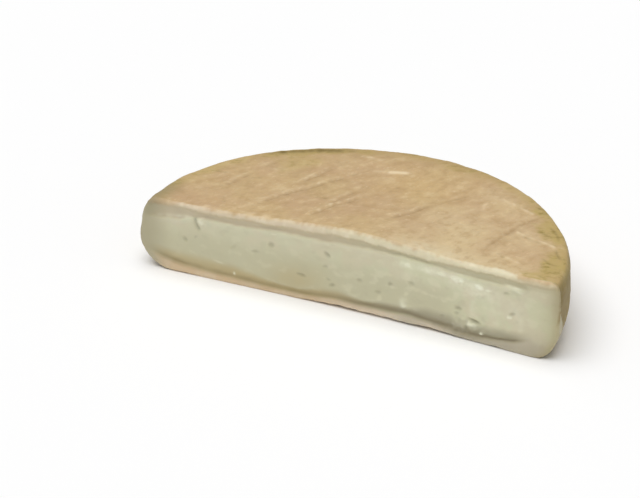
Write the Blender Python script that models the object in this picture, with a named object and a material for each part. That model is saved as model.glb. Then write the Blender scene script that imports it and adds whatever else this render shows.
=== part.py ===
"""Half a wheel of munster cheese, cut across the middle and lying on its flat underside.

The half wheel is one soft solid. Its outline in plan is a half disc that is a little out of round,
its rim bulges at the belly and turns in to a flat foot and a soft shoulder, and its top is gently
crowned behind the cut. The cut face carries the rind's two lips, the hollow under each of them, the
low swell of the paste between and the small eyes that the knife opened. The top carries the marks
of the rack that the wheel ripened on.

The half wheel is first shaped round the wheel's own axis, with the cut along X and the body behind
it at +Y, and is then moved so that the origin is the middle of its footprint, on the underside.
"""

import math
from dataclasses import dataclass

import bmesh
import bpy
import numpy as np
from mathutils import Matrix, Vector

# Size of the wheel, in metres
WHEEL_RADIUS = 0.0954
RIM_THICKNESS = 0.0343
THICKNESS_GAIN_TO_RIGHT = 0.0009

# Crown of the top, behind the middle of the cut
CROWN_RISE = 0.0043
CROWN_X = 0.004
CROWN_SPREAD = 0.041
TOP_SINK = 0.0015

# Turn of the rim, at the left and the right end of the cut
FOOT_INSET = (0.0100, 0.0070)
SHOULDER_INSET = (0.0085, 0.0042)
BELLY_LEVEL = 0.38
FOOT_FULLNESS = 1.55
SHOULDER_FULLNESS = 2.2

# How far the wheel is out of round: waves round the rim, as the share of the radius and the phase
RIM_WAVES = ((2, 0.0177, math.radians(-74)), (3, 0.0072, math.radians(146)), (5, 0.0036, math.radians(34)))

# Relief of the cut face, as heights in metres; a positive depth goes into the cheese
CUT_BOW = 0.0024
TOP_LIP_HEIGHT = 0.0022
TOP_HOLLOW_HEIGHT = 0.0045
TOP_HOLLOW_DEPTH = 0.0016
FOOT_LIP_HEIGHT = 0.0030
FOOT_HOLLOW_HEIGHT = 0.0052
FOOT_HOLLOW_DEPTH = 0.0013
HOLLOW_SPREAD = 0.0016
LIP_PROUD = 0.0007
PASTE_SWELL = 0.0006
RELIEF_REACH = (0.82, 1.00)

# Rounding of the cut face's edge: its width at the rim, its width at the top and foot, and its depth
RIM_CORNER = 0.0030
EDGE_CORNER = 0.0015
CORNER_DEPTH = 0.0014
TOP_EDGE_DROP = 0.0003

# Marks of the rack on the top
RACK_GROOVE_DEPTH = 0.0005
RACK_GROOVE_SPREAD = 0.0020
MARK_STEPS = 25

# Mesh divisions across the cut, from the cut to the back, and from the foot to the top
COLUMNS = 60
ROWS = 26
LEVELS = 18
ROW_CROWDING = 1.1


@dataclass(frozen=True)
class Eye:
    """A small opening in the cut face, by its place on that face, its size and its lean."""

    x: float
    z: float
    width: float
    height: float
    depth: float
    lean: float = 0.0


@dataclass(frozen=True)
class RackMark:
    """A shallow groove across the top, by the places of its two ends and of its middle."""

    near: tuple[float, float]
    middle: tuple[float, float]
    far: tuple[float, float]


EYES = (
    Eye(x=-0.0730, z=0.0170, width=0.0026, height=0.0016, depth=0.0008, lean=-50),
    Eye(x=-0.0645, z=0.0250, width=0.0062, height=0.0020, depth=0.0014, lean=-62),
    Eye(x=-0.0400, z=0.0182, width=0.0030, height=0.0012, depth=0.0009, lean=5),
    Eye(x=-0.0325, z=0.0232, width=0.0030, height=0.0020, depth=0.0010, lean=20),
    Eye(x=-0.0185, z=0.0125, width=0.0038, height=0.0012, depth=0.0010, lean=-8),
    Eye(x=-0.0065, z=0.0240, width=0.0034, height=0.0016, depth=0.0012, lean=-38),
    Eye(x=-0.0075, z=0.0185, width=0.0026, height=0.0013, depth=0.0009, lean=10),
    Eye(x=-0.0040, z=0.0105, width=0.0030, height=0.0014, depth=0.0010, lean=15),
    Eye(x=0.0085, z=0.0160, width=0.0024, height=0.0015, depth=0.0009),
    Eye(x=0.0170, z=0.0125, width=0.0028, height=0.0014, depth=0.0009, lean=12),
    Eye(x=0.0225, z=0.0175, width=0.0022, height=0.0016, depth=0.0009),
    Eye(x=0.0310, z=0.0205, width=0.0030, height=0.0014, depth=0.0008, lean=-10),
    Eye(x=0.0525, z=0.0135, width=0.0032, height=0.0018, depth=0.0012, lean=-20),
    Eye(x=0.0600, z=0.0100, width=0.0062, height=0.0018, depth=0.0014, lean=-6),
    Eye(x=0.0730, z=0.0262, width=0.0030, height=0.0016, depth=0.0009, lean=12),
    Eye(x=0.0760, z=0.0172, width=0.0040, height=0.0022, depth=0.0012, lean=-28),
)

RACK_MARKS = (
    RackMark(near=(-0.0690, 0.020), middle=(-0.0655, 0.034), far=(-0.0620, 0.046)),
    RackMark(near=(-0.0450, 0.014), middle=(-0.0380, 0.036), far=(-0.0320, 0.064)),
    RackMark(near=(-0.0205, 0.009), middle=(-0.0120, 0.036), far=(0.0040, 0.062)),
    RackMark(near=(0.0060, 0.022), middle=(0.0190, 0.036), far=(0.0290, 0.064)),
    RackMark(near=(0.0550, 0.012), middle=(0.0595, 0.033), far=(0.0640, 0.056)),
)


def clear_scene():
    """Remove whatever the scene holds."""
    for item in list(bpy.data.objects):
        bpy.data.objects.remove(item, do_unlink=True)


def soft_step(low, high, value):
    """Ease from 0 at low to 1 at high."""
    share = min(max((value - low) / (high - low), 0.0), 1.0)
    return share * share * (3.0 - 2.0 * share)


def bell(value, middle, spread):
    """Rise from 0 to 1 at the middle and fall again."""
    return math.exp(-(((value - middle) / spread) ** 2))


def half_disc(across, back):
    """Map a place in the box's plan, across -1 to 1 and back 0 to 1, to a share of the radius and an angle.

    Lines of the box that run round its edge become half circles, so the mesh is even everywhere.
    """
    reach = max(abs(across), back)
    if reach == 0.0:
        return 0.0, math.pi / 2
    if abs(across) >= back:
        turn = math.pi / 4 * back / abs(across)
        return reach, turn if across > 0 else math.pi - turn
    return reach, math.pi / 2 - math.pi / 4 * across / back


def from_ends(ends, angle):
    """Blend a size from its value at the left end of the cut to its value at the right end."""
    right_share = 0.5 + 0.5 * math.cos(angle)
    return ends[0] + (ends[1] - ends[0]) * right_share


def belly_radius(angle):
    """Radius of the wheel at its widest, round the rim."""
    waves = sum(share * math.cos(count * angle - phase) for count, share, phase in RIM_WAVES)
    return WHEEL_RADIUS * (1.0 + waves)


def rim_radius(angle, level):
    """Radius of the rim at a level, from 0 at the foot to 1 at the top."""
    if level < BELLY_LEVEL:
        inset, fullness = from_ends(FOOT_INSET, angle), FOOT_FULLNESS
        away = 1.0 - level / BELLY_LEVEL
    else:
        inset, fullness = from_ends(SHOULDER_INSET, angle), SHOULDER_FULLNESS
        away = (level - BELLY_LEVEL) / (1.0 - BELLY_LEVEL)
    turn = (1.0 - min(away, 1.0) ** fullness) ** (1.0 / fullness)
    return belly_radius(angle) - inset * (1.0 - turn)


def top_height(x, y):
    """Height of the smooth top over the underside, before the rack's marks."""
    crown = CROWN_RISE * bell(math.hypot(x - CROWN_X, y), 0.0, CROWN_SPREAD)
    sink = TOP_SINK * (1.0 - (x * x + y * y) / WHEEL_RADIUS**2)
    return RIM_THICKNESS + THICKNESS_GAIN_TO_RIGHT * x / WHEEL_RADIUS + crown - sink


def cut_depth(x, z, height):
    """How far the cut face lies behind the line of the cut, at a place on that face."""
    reach = min(abs(x) / (WHEEL_RADIUS - RIM_CORNER), 1.0)
    top_hollow = bell(height - z, TOP_HOLLOW_HEIGHT, HOLLOW_SPREAD)
    foot_hollow = bell(z, FOOT_HOLLOW_HEIGHT, HOLLOW_SPREAD)
    lip = max(bell(height - z, 0.0, TOP_LIP_HEIGHT), bell(z, 0.0, FOOT_LIP_HEIGHT))
    swell = math.sin(math.pi * z / height)
    relief = TOP_HOLLOW_DEPTH * top_hollow + FOOT_HOLLOW_DEPTH * foot_hollow
    relief -= LIP_PROUD * lip + PASTE_SWELL * swell
    return CUT_BOW * (1.0 - reach**2) + relief * (1.0 - soft_step(*RELIEF_REACH, reach))


def corner_depth(across, z, height):
    """How far the edge of the cut face is rounded off, at the rim, at the top and at the underside."""
    from_rim = WHEEL_RADIUS * (1.0 - abs(across))
    share = 1.0 - min(from_rim / RIM_CORNER, (height - z) / EDGE_CORNER, z / EDGE_CORNER, 1.0)
    return CORNER_DEPTH * (1.0 - math.sqrt(1.0 - share * share))


def distance_to_mark(mark, x, y):
    """Distance in plan from a place on the top to a rack mark, which bends through its three points."""
    steps = np.linspace(0.0, 1.0, MARK_STEPS)
    start, end = 2.0 * (steps - 0.5) * (steps - 1.0), 2.0 * steps * (steps - 0.5)
    bend = 4.0 * steps * (1.0 - steps)
    along_x = start * mark.near[0] + bend * mark.middle[0] + end * mark.far[0]
    along_y = start * mark.near[1] + bend * mark.middle[1] + end * mark.far[1]
    return float(np.min(np.hypot(along_x - x, along_y - y)))


def rack_depth(x, y):
    """How deep the rack's marks are pressed into the top at a place."""
    nearest = min(distance_to_mark(mark, x, y) for mark in RACK_MARKS)
    return RACK_GROOVE_DEPTH * bell(nearest, 0.0, RACK_GROOVE_SPREAD)


def surface_point(across, back, level):
    """The point of the half wheel's surface that belongs to a point of the box's surface."""
    reach, angle = half_disc(across, back)
    radius = reach * rim_radius(angle, level)
    x, y = radius * math.cos(angle), radius * math.sin(angle)
    height = top_height(x, y)
    z = level * height
    if back == 0.0:
        y += cut_depth(x, z, height) + corner_depth(across, z, height)
    else:
        y += CUT_BOW * (1.0 - min(abs(x) / WHEEL_RADIUS, 1.0) ** 2) * (1.0 - back) ** 2
    if level == 1.0:
        z -= rack_depth(x, y) + (TOP_EDGE_DROP if back == 0.0 else 0.0)
    return Vector((x, y, z))


def box_places():
    """Places of the box's grid lines: across the cut, from the cut to the back, and up the rim."""
    across = [2.0 * step / COLUMNS - 1.0 for step in range(COLUMNS + 1)]
    back = [(step / ROWS) ** ROW_CROWDING for step in range(ROWS + 1)]
    level = [0.5 - 0.5 * math.cos(math.pi * step / LEVELS) for step in range(LEVELS + 1)]
    return across, back, level


def foot_ring():
    """Grid steps round the edge of the underside, in the order that faces it down."""
    left = [(0, row) for row in range(ROWS)]
    rear = [(column, ROWS) for column in range(COLUMNS)]
    right = [(COLUMNS, row) for row in range(ROWS, 0, -1)]
    cut = [(column, 0) for column in range(COLUMNS, 0, -1)]
    return left + rear + right + cut


def half_wheel_mesh():
    """The half wheel's closed mesh: a top, a cut face, a rim in three runs and a flat underside."""
    shape = bmesh.new()
    across, back, level = box_places()
    corners = {}

    def corner(column, row, rise):
        key = (column, row, rise)
        if key not in corners:
            corners[key] = shape.verts.new(surface_point(across[column], back[row], level[rise]))
        return corners[key]

    def patch(*keys):
        shape.faces.new([corner(*key) for key in keys]).smooth = True

    for i in range(COLUMNS):
        for j in range(ROWS):
            patch((i, j, LEVELS), (i + 1, j, LEVELS), (i + 1, j + 1, LEVELS), (i, j + 1, LEVELS))
    for k in range(LEVELS):
        for i in range(COLUMNS):
            patch((i, 0, k), (i + 1, 0, k), (i + 1, 0, k + 1), (i, 0, k + 1))
            patch((i + 1, ROWS, k), (i, ROWS, k), (i, ROWS, k + 1), (i + 1, ROWS, k + 1))
        for j in range(ROWS):
            patch((0, j + 1, k), (0, j, k), (0, j, k + 1), (0, j + 1, k + 1))
            patch((COLUMNS, j, k), (COLUMNS, j + 1, k), (COLUMNS, j + 1, k + 1), (COLUMNS, j, k + 1))
    shape.faces.new([corner(column, row, 0) for column, row in foot_ring()])

    mesh = bpy.data.meshes.new("half_wheel")
    shape.to_mesh(mesh)
    shape.free()
    return mesh


def half_wheel(material):
    """The half wheel as an object that carries its material."""
    mesh = half_wheel_mesh()
    mesh.set_sharp_from_angle(angle=math.radians(50))
    mesh.materials.append(material)
    body = bpy.data.objects.new("half_wheel", mesh)
    bpy.context.collection.objects.link(body)
    return body


def eye_cutter(eye, number):
    """A small ellipsoid, half buried in the cut face, that opens one eye."""
    shape = bmesh.new()
    bmesh.ops.create_icosphere(shape, subdivisions=1, radius=1.0)
    height = top_height(eye.x, 0.0)
    size = Matrix.Diagonal((eye.width / 2, eye.depth, eye.height / 2, 1.0))
    lean = Matrix.Rotation(math.radians(-eye.lean), 4, "Y")
    place = Matrix.Translation((eye.x, cut_depth(eye.x, eye.z, height), eye.z))
    bmesh.ops.transform(shape, matrix=place @ lean @ size, verts=shape.verts)
    mesh = bpy.data.meshes.new(f"eye_{number:02d}")
    shape.to_mesh(mesh)
    shape.free()
    cutter = bpy.data.objects.new(mesh.name, mesh)
    cutter.hide_render = True
    cutter.display_type = "WIRE"
    return cutter


def open_eyes(body):
    """Cut every eye out of the body with one Boolean on the collection of their ellipsoids."""
    eyes = bpy.data.collections.new("eyes")
    bpy.context.scene.collection.children.link(eyes)
    for number, eye in enumerate(EYES, start=1):
        eyes.objects.link(eye_cutter(eye, number))
    cut = body.modifiers.new("open eyes", "BOOLEAN")
    cut.operation = "DIFFERENCE"
    cut.operand_type = "COLLECTION"
    cut.collection = eyes
    cut.solver = "EXACT"


def move_to_origin(body):
    """Move the body and its cutters so that the middle of the footprint is the origin."""
    places = [vertex.co for vertex in body.data.vertices]
    middle = [(min(p[axis] for p in places) + max(p[axis] for p in places)) / 2 for axis in (0, 1)]
    shift = Matrix.Translation((-middle[0], -middle[1], 0.0))
    for item in [body, *bpy.data.collections["eyes"].objects]:
        item.data.transform(shift)


def cheese_material():
    """Pale washed rind over soft paste, with a dull, slightly moist surface."""
    material = bpy.data.materials.new("munster")
    material.use_nodes = True
    surface = material.node_tree.nodes["Principled BSDF"]
    surface.inputs["Base Color"].default_value = (0.60, 0.45, 0.27, 1.0)
    surface.inputs["Roughness"].default_value = 0.6
    surface.inputs["Metallic"].default_value = 0.0
    return material


def main():
    """Build the half wheel, open its eyes and set it on its origin."""
    clear_scene()
    body = half_wheel(cheese_material())
    open_eyes(body)
    move_to_origin(body)


main()
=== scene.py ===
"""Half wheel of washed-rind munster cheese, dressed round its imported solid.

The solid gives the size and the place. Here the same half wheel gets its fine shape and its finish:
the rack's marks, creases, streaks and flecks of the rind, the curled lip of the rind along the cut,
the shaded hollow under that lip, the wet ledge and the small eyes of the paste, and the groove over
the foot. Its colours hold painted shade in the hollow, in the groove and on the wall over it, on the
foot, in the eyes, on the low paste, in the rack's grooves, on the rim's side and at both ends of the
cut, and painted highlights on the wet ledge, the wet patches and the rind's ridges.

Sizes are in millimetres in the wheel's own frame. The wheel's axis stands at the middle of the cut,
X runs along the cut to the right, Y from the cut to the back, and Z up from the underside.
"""

import itertools
import logging
import math
from dataclasses import dataclass
from enum import Enum

import bpy
import numpy as np
from mathutils import Matrix, Vector


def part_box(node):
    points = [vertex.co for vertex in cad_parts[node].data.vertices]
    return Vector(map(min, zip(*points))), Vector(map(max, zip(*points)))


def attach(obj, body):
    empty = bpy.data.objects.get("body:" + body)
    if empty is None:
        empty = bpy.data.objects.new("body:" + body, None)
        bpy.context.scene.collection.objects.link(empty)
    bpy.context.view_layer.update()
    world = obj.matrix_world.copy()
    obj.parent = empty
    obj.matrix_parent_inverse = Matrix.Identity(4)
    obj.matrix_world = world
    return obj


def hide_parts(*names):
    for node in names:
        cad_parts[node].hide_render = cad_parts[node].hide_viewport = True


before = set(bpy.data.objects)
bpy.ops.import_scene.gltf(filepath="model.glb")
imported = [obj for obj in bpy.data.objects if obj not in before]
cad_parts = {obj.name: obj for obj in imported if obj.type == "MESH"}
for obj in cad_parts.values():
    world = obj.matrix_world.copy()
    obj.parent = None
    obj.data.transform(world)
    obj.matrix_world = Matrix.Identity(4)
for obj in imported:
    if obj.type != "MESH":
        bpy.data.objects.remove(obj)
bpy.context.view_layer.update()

MM = 0.001
LEAST = 1e-9
NODE = "half_wheel"
BODY = "root"
REPORT = logging.getLogger("half wheel")

Band = tuple[float, float]
Path = tuple[Band, ...]
Lobe = tuple[float, float, float]
Change = tuple[float, float, float]
Colour = tuple[float, float, float]
Sizes = tuple[float, float, float]
Wave = tuple[float, float, float]
Wander = tuple[tuple[float, float, float], ...]
Grain = tuple[tuple[Sizes | float, float], ...]


# Shapes of numbers

def soft_step(low: float, high: float, values: np.ndarray) -> np.ndarray:
    """Ease from 0 to 1.

    Args:
        low: Where the step starts.
        high: Where the step is done.
        values: What is stepped.

    Returns:
        The eased share of every value.
    """
    share = np.clip((values - low) / (high - low), 0.0, 1.0)
    return share * share * (3.0 - 2.0 * share)


def bell(values: np.ndarray, middle: float, spread: float) -> np.ndarray:
    """Rise to 1 at a middle and fall again.

    Args:
        values: Where the bell is read.
        middle: Where it is highest.
        spread: How far from the middle it has fallen to about a third.

    Returns:
        The bell's height at every value.
    """
    return np.exp(-(((values - middle) / spread) ** 2))


def between(start: Band, end: Band, values: np.ndarray) -> np.ndarray:
    """Ease from 0 to 1 over the start, and back to 0 over the end."""
    return soft_step(*start, values) * (1.0 - soft_step(*end, values))


def blend(ends: Band, share: "np.ndarray | Signal") -> "np.ndarray | Signal":
    """Go from the first end to the second by a share."""
    return ends[0] + (ends[1] - ends[0]) * share


def lobes(values: np.ndarray, *parts: Lobe) -> np.ndarray:
    """Add bells up, each given by its middle, its spread and its size."""
    return sum(size * bell(values, middle, spread) for middle, spread, size in parts)


def changes(values: np.ndarray, *parts: Change) -> np.ndarray:
    """Add eased steps up, each given by where it starts, where it is done and its size."""
    return sum(size * soft_step(start, done, values) for start, done, size in parts)


def quarter_round(share: np.ndarray) -> np.ndarray:
    """Draw back along a quarter circle, from 0 where the edge starts to turn to 1 at the edge itself."""
    return 1.0 - np.sqrt(1.0 - np.clip(share, 0.0, 1.0) ** 2)


class GradientNoise:
    """Seeded noise over space, the same on every run."""

    CELLS = 32
    GAIN = 1.6

    def __init__(self, seed: int) -> None:
        """Draw the slopes at the noise's grid points."""
        slopes = np.random.default_rng(seed).normal(size=(self.CELLS, self.CELLS, self.CELLS, 3))
        self.slopes = slopes / np.linalg.norm(slopes, axis=-1, keepdims=True)

    def at(self, places: np.ndarray, sizes: Sizes | float) -> np.ndarray:
        """Read the noise.

        Args:
            places: Points, one row each.
            sizes: Size of the noise's cells, one for all directions or one for each.

        Returns:
            Noise of about -1 to 1 at every point.
        """
        cells = places / np.asarray(sizes, float)
        lowest = np.floor(cells).astype(int)
        inside = cells - lowest
        fade = inside**3 * (inside * (6.0 * inside - 15.0) + 10.0)
        total = np.zeros(len(places))
        for corner in itertools.product((0, 1), repeat=3):
            index = (lowest + corner) % self.CELLS
            slope = self.slopes[index[:, 0], index[:, 1], index[:, 2]]
            share = np.prod(np.where(corner, fade, 1.0 - fade), axis=1)
            total += share * np.sum(slope * (inside - corner), axis=1)
        return self.GAIN * total

    def along(self, values: np.ndarray, size: float, row: float = 0.5) -> np.ndarray:
        """Read the noise along one line of space, with a row number that sets lines apart."""
        rows = np.full(len(values), row * size)
        return self.at(np.column_stack((values, rows, rows)), size)


@dataclass(frozen=True)
class Trail:
    """A narrow mark that runs over a face.

    Its path is in plan on the rind, and along and up on the cut. It rises by height, or sinks where
    height is less than 0, and throws up a ridge on its left where ridge is set. Its tint says how
    much it is coloured, and frayed how far it is broken up along its run.
    """

    path: Path
    width: float
    height: float
    ridge: float = 0.0
    tint: float = 1.0
    frayed: float = 0.6

    STEPS_PER_RUN = 4
    START = (-0.05, 0.18)
    END = (0.75, 1.05)
    FRAY_SIZE = 3.5
    FRAY_GAIN = 2.4
    FRAY_LOSS = 0.3
    FULLEST = 1.4

    def curve(self) -> np.ndarray:
        """Bend the path smoothly through its points."""
        points = np.array(self.path, float)
        if len(points) == 2:
            return points
        ends = np.vstack((2 * points[0] - points[1], points, 2 * points[-1] - points[-2]))
        bent = []
        for before, start, end, after in zip(ends, ends[1:], ends[2:], ends[3:]):
            for share in np.linspace(0.0, 1.0, self.STEPS_PER_RUN, endpoint=False):
                straight = 2 * start + (end - before) * share
                turn = (2 * before - 5 * start + 4 * end - after) * share**2
                twist = (3 * start - before - 3 * end + after) * share**3
                bent.append(0.5 * (straight + turn + twist))
        return np.array([*bent, points[-1]])

    def follow(self, places: np.ndarray, noise: GradientNoise) -> tuple[np.ndarray, np.ndarray]:
        """Measure how places lie to the trail.

        Args:
            places: Points of the face, one row of two numbers each.
            noise: What frays the trail.

        Returns:
            The distance to the trail, above 0 on its left, and the share of the full mark, which
            thins out towards the ends.
        """
        curve = self.curve()
        nearest = np.full(len(places), np.inf)
        side = np.ones(len(places))
        along = np.zeros(len(places))
        runs = len(curve) - 1
        for number, (start, end) in enumerate(zip(curve, curve[1:])):
            run = end - start
            gap = places - start
            share = np.clip(gap @ run / (run @ run), 0.0, 1.0)
            apart = np.hypot(*(gap - share[:, None] * run).T)
            closer = apart < nearest
            turn = run[0] * gap[:, 1] - run[1] * gap[:, 0]
            side = np.where(closer, np.where(turn >= 0.0, 1.0, -1.0), side)
            along = np.where(closer, (number + share) / runs, along)
            nearest = np.minimum(nearest, apart)
        length = np.hypot(*np.diff(curve, axis=0).T).sum()
        broken = noise.along(along * length, self.FRAY_SIZE, row=self.path[0][0])
        whole = 1.0 + self.frayed * (self.FRAY_GAIN * broken - self.FRAY_LOSS)
        return nearest * side, between(self.START, self.END, along) * np.clip(whole, 0.0, self.FULLEST)


@dataclass(frozen=True)
class Patch:
    """A soft-edged patch of a face, by its middle, its reach along and up, and how it leans."""

    x: float
    y: float
    wide: float
    high: float
    lean: float = 0.0
    strength: float = 1.0

    SOFTNESS = 0.8

    def away(self, places: np.ndarray) -> np.ndarray:
        """Distance to the middle, 1 at the patch's edge."""
        turn = math.radians(self.lean)
        along, up = places[:, 0] - self.x, places[:, 1] - self.y
        longways = along * math.cos(turn) + up * math.sin(turn)
        crossways = up * math.cos(turn) - along * math.sin(turn)
        return np.hypot(longways / self.wide, crossways / self.high)

    def cover(self, places: np.ndarray) -> np.ndarray:
        """How strongly every place is covered."""
        return self.strength * bell(self.away(places), 0.0, self.SOFTNESS)


# The body's shape

class Face(Enum):
    """The sides of the box whose grid is bent into the half wheel."""

    TOP = "top"
    CUT = "cut"
    BACK = "back"
    LEFT = "left"
    RIGHT = "right"


@dataclass(frozen=True)
class BoxGrid:
    """The grid of the box's surface, which is even all over the half wheel."""

    columns: int = 352
    rows: int = 88
    levels: int = 66
    row_crowding: float = 1.25
    level_evenness: float = 0.65

    def codes(self, column: np.ndarray, row: np.ndarray, level: np.ndarray) -> np.ndarray:
        """One number for each grid point."""
        return (column * (self.rows + 1) + row) * (self.levels + 1) + level

    def patch(self, face: Face) -> np.ndarray:
        """Lay out one face of the box.

        Args:
            face: Which face.

        Returns:
            Codes of its grid points, ordered so that its quads look outwards.
        """
        columns = np.arange(self.columns + 1)[:, None]
        rows = np.arange(self.rows + 1)[:, None]
        levels = np.arange(self.levels + 1)[None, :]
        if face is Face.TOP:
            return self.codes(columns, rows.T, self.levels)
        if face is Face.CUT:
            return self.codes(columns, 0, levels)
        if face is Face.BACK:
            return self.codes(columns[::-1], self.rows, levels)
        if face is Face.LEFT:
            return self.codes(0, rows[::-1], levels)
        return self.codes(self.columns, rows, levels)

    def foot_loop(self) -> np.ndarray:
        """Codes round the edge of the underside, in the order that faces it down."""
        columns, rows = np.arange(self.columns + 1), np.arange(self.rows + 1)
        left = self.codes(0, rows[:-1], 0)
        back = self.codes(columns[:-1], self.rows, 0)
        right = self.codes(self.columns, rows[:0:-1], 0)
        cut = self.codes(columns[:0:-1], 0, 0)
        return np.concatenate((left, back, right, cut))

    def shares(self, codes: np.ndarray) -> tuple[np.ndarray, np.ndarray, np.ndarray]:
        """Where grid points lie in the box.

        Args:
            codes: The grid points.

        Returns:
            Their places across, -1 to 1, from the cut to the back, 0 to 1, and up, 0 to 1.
        """
        level = codes % (self.levels + 1) / self.levels
        back = codes // (self.levels + 1) % (self.rows + 1) / self.rows
        across = codes // ((self.levels + 1) * (self.rows + 1)) / self.columns
        eased = 0.5 - 0.5 * np.cos(math.pi * level)
        level = self.level_evenness * level + (1.0 - self.level_evenness) * eased
        return 2.0 * across - 1.0, back**self.row_crowding, level


@dataclass(frozen=True)
class WheelBody:
    """The smooth half wheel, with the sizes of the solid.

    Pairs hold a size at the left end and at the right end. Each wave round the rim has its count, its
    share of the radius and its phase in degrees.
    """

    radius: float = 95.4
    rim_thickness: float = 34.3
    gain_to_right: float = 0.9
    crown_rise: float = 4.3
    crown_x: float = 4.0
    crown_spread: float = 41.0
    top_sink: float = 1.5
    foot_inset: Band = (12.0, 9.5)
    shoulder_inset: Band = (8.5, 4.2)
    belly_level: float = 0.38
    foot_fullness: float = 1.55
    shoulder_fullness: Band = (1.85, 3.0)
    waves: tuple[Wave, ...] = ((2, 0.0177, -74.0), (3, 0.0072, 146.0), (5, 0.0036, 34.0))
    cut_bow: float = 2.4
    rim_corner: float = 3.0
    edge_corner: float = 2.0
    corner_depth: float = 1.2
    foot_corner: float = 0.8
    foot_depth: float = 0.35
    dents: tuple[Lobe, ...] = ((180.0, 13.0, 0.6), (37.0, 9.0, 0.5))
    full_foot: Lobe = (0.0, 16.0, 2.6)
    full_shoulder: Lobe = (180.0, 18.0, 0.9)
    worn_edge: Lobe = (28.0, 18.0, 0.6)
    bow_reach: float = 12.0
    lift_height: float = 6.0
    lift_reach: float = 3.0

    def disc(self, across: np.ndarray, back: np.ndarray) -> tuple[np.ndarray, np.ndarray]:
        """Map the box's plan to a half disc.

        Args:
            across: Places across the box.
            back: Places from the cut to the back.

        Returns:
            The share of the radius and the angle, in radians from +X.
        """
        reach = np.maximum(np.abs(across), back)
        side_turn = math.pi / 4 * back / np.maximum(np.abs(across), LEAST)
        at_side = np.where(across > 0.0, side_turn, math.pi - side_turn)
        at_back = math.pi / 2 - math.pi / 4 * across / np.maximum(back, LEAST)
        angle = np.where(np.abs(across) >= back, at_side, at_back)
        return reach, np.where(reach == 0.0, math.pi / 2, angle)

    def rim_radius(self, angle: np.ndarray, level: np.ndarray) -> np.ndarray:
        """Radius of the rim.

        Args:
            angle: The angle round the wheel.
            level: Place up the rim, 0 to 1.

        Returns:
            The radius in millimetres.
        """
        right = 0.5 + 0.5 * np.cos(angle)
        degrees = np.degrees(angle)
        low = level < self.belly_level
        foot = blend(self.foot_inset, right) - lobes(degrees, self.full_foot)
        shoulder = blend(self.shoulder_inset, right) - lobes(degrees, self.full_shoulder)
        rising = np.maximum(level - self.belly_level, 0.0) / (1.0 - self.belly_level)
        away = np.where(low, 1.0 - level / self.belly_level, rising)
        fullness = np.where(low, self.foot_fullness, blend(self.shoulder_fullness, right))
        turn = (1.0 - np.clip(away, 0.0, 1.0) ** fullness) ** (1.0 / fullness)
        waves = sum(size * np.cos(count * angle - math.radians(phase)) for count, size, phase in self.waves)
        radius = self.radius * (1.0 + waves) - lobes(degrees, *self.dents)
        return radius - np.where(low, foot, shoulder) * (1.0 - turn)

    def top_height(self, x: np.ndarray, y: np.ndarray) -> np.ndarray:
        """Height of the smooth top over the underside.

        Args:
            x: Places along the cut.
            y: Places behind the cut.

        Returns:
            The heights.
        """
        crown = self.crown_rise * bell(np.hypot(x - self.crown_x, y), 0.0, self.crown_spread)
        sink = self.top_sink * (1.0 - (x * x + y * y) / self.radius**2)
        return self.rim_thickness + self.gain_to_right * x / self.radius + crown - sink


@dataclass
class Skin:
    """Where every point of the half wheel's surface lies, before its fine shape."""

    noise: GradientNoise
    across: np.ndarray
    level: np.ndarray
    places: np.ndarray
    below_top: np.ndarray
    behind: np.ndarray
    from_rim: np.ndarray
    on_cut: np.ndarray
    on_top: np.ndarray

    @property
    def x(self) -> np.ndarray:
        """Places along the cut."""
        return self.places[:, 0]

    @property
    def z(self) -> np.ndarray:
        """Heights over the underside."""
        return self.places[:, 2]

    @property
    def plan(self) -> np.ndarray:
        """Places on the rind, along and behind the cut."""
        return self.places[:, :2]

    @property
    def front(self) -> np.ndarray:
        """Places on the cut, along it and up."""
        return self.places[:, ::2]

    def rough(self, grain: Grain) -> np.ndarray:
        """Noise over the surface, added up from cells of some size or sizes, each with its share."""
        return sum(share * self.noise.at(self.places, sizes) for sizes, share in grain)

    def wander(self, noises: Wander) -> np.ndarray:
        """Noise along the cut, added up from sizes, rows that set lines apart, and shares."""
        return sum(share * self.noise.along(self.x, size, row) for size, row, share in noises)


class Coat(Enum):
    """The masks that the shape hands on to the finish, point by point."""

    # Masks of painted light: the hollow, wall, foot groove, foot shade, eye marks, low paste, right edge, rim
    # side, left end and rind grooves carry painted shade; the gleam and the ridges carry painted highlights
    # beside real wetness and pale flecks.
    PASTE = "paste"
    CREAM = "cream"
    HOLLOW_SHADE = "hollow"
    FOOT = "foot"
    FOOT_SHADE = "foot_shade"
    FOOT_GROOVE_SHADE = "foot_groove_shade"
    MARK_SHADE = "eye"
    GLEAM = "gleam"
    BUTTER = "butter"
    LOW_SHADE = "low"
    WALL_SHADE = "wall"
    RIM = "rim"
    RIGHT_EDGE_SHADE = "edge"
    RACK_AND_BRINK_SHADE = "groove"
    RIDGE = "ridge"
    OLIVE = "olive"
    CRACK = "crack"
    SHADED_SIDE = "side"
    FAIR = "fair"
    GOLD = "gold"
    END = "end"


Coats = dict[Coat, np.ndarray]


# The cut face

@dataclass(frozen=True)
class Eye(Patch):
    """A small opening in the paste: a patch whose strength is the darkness of its painted shade, with a
    depth.
    """

    depth: float = 0.5


# Each eye is sunk by its depth and darkened by painted shade as strong as its strength.
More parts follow.
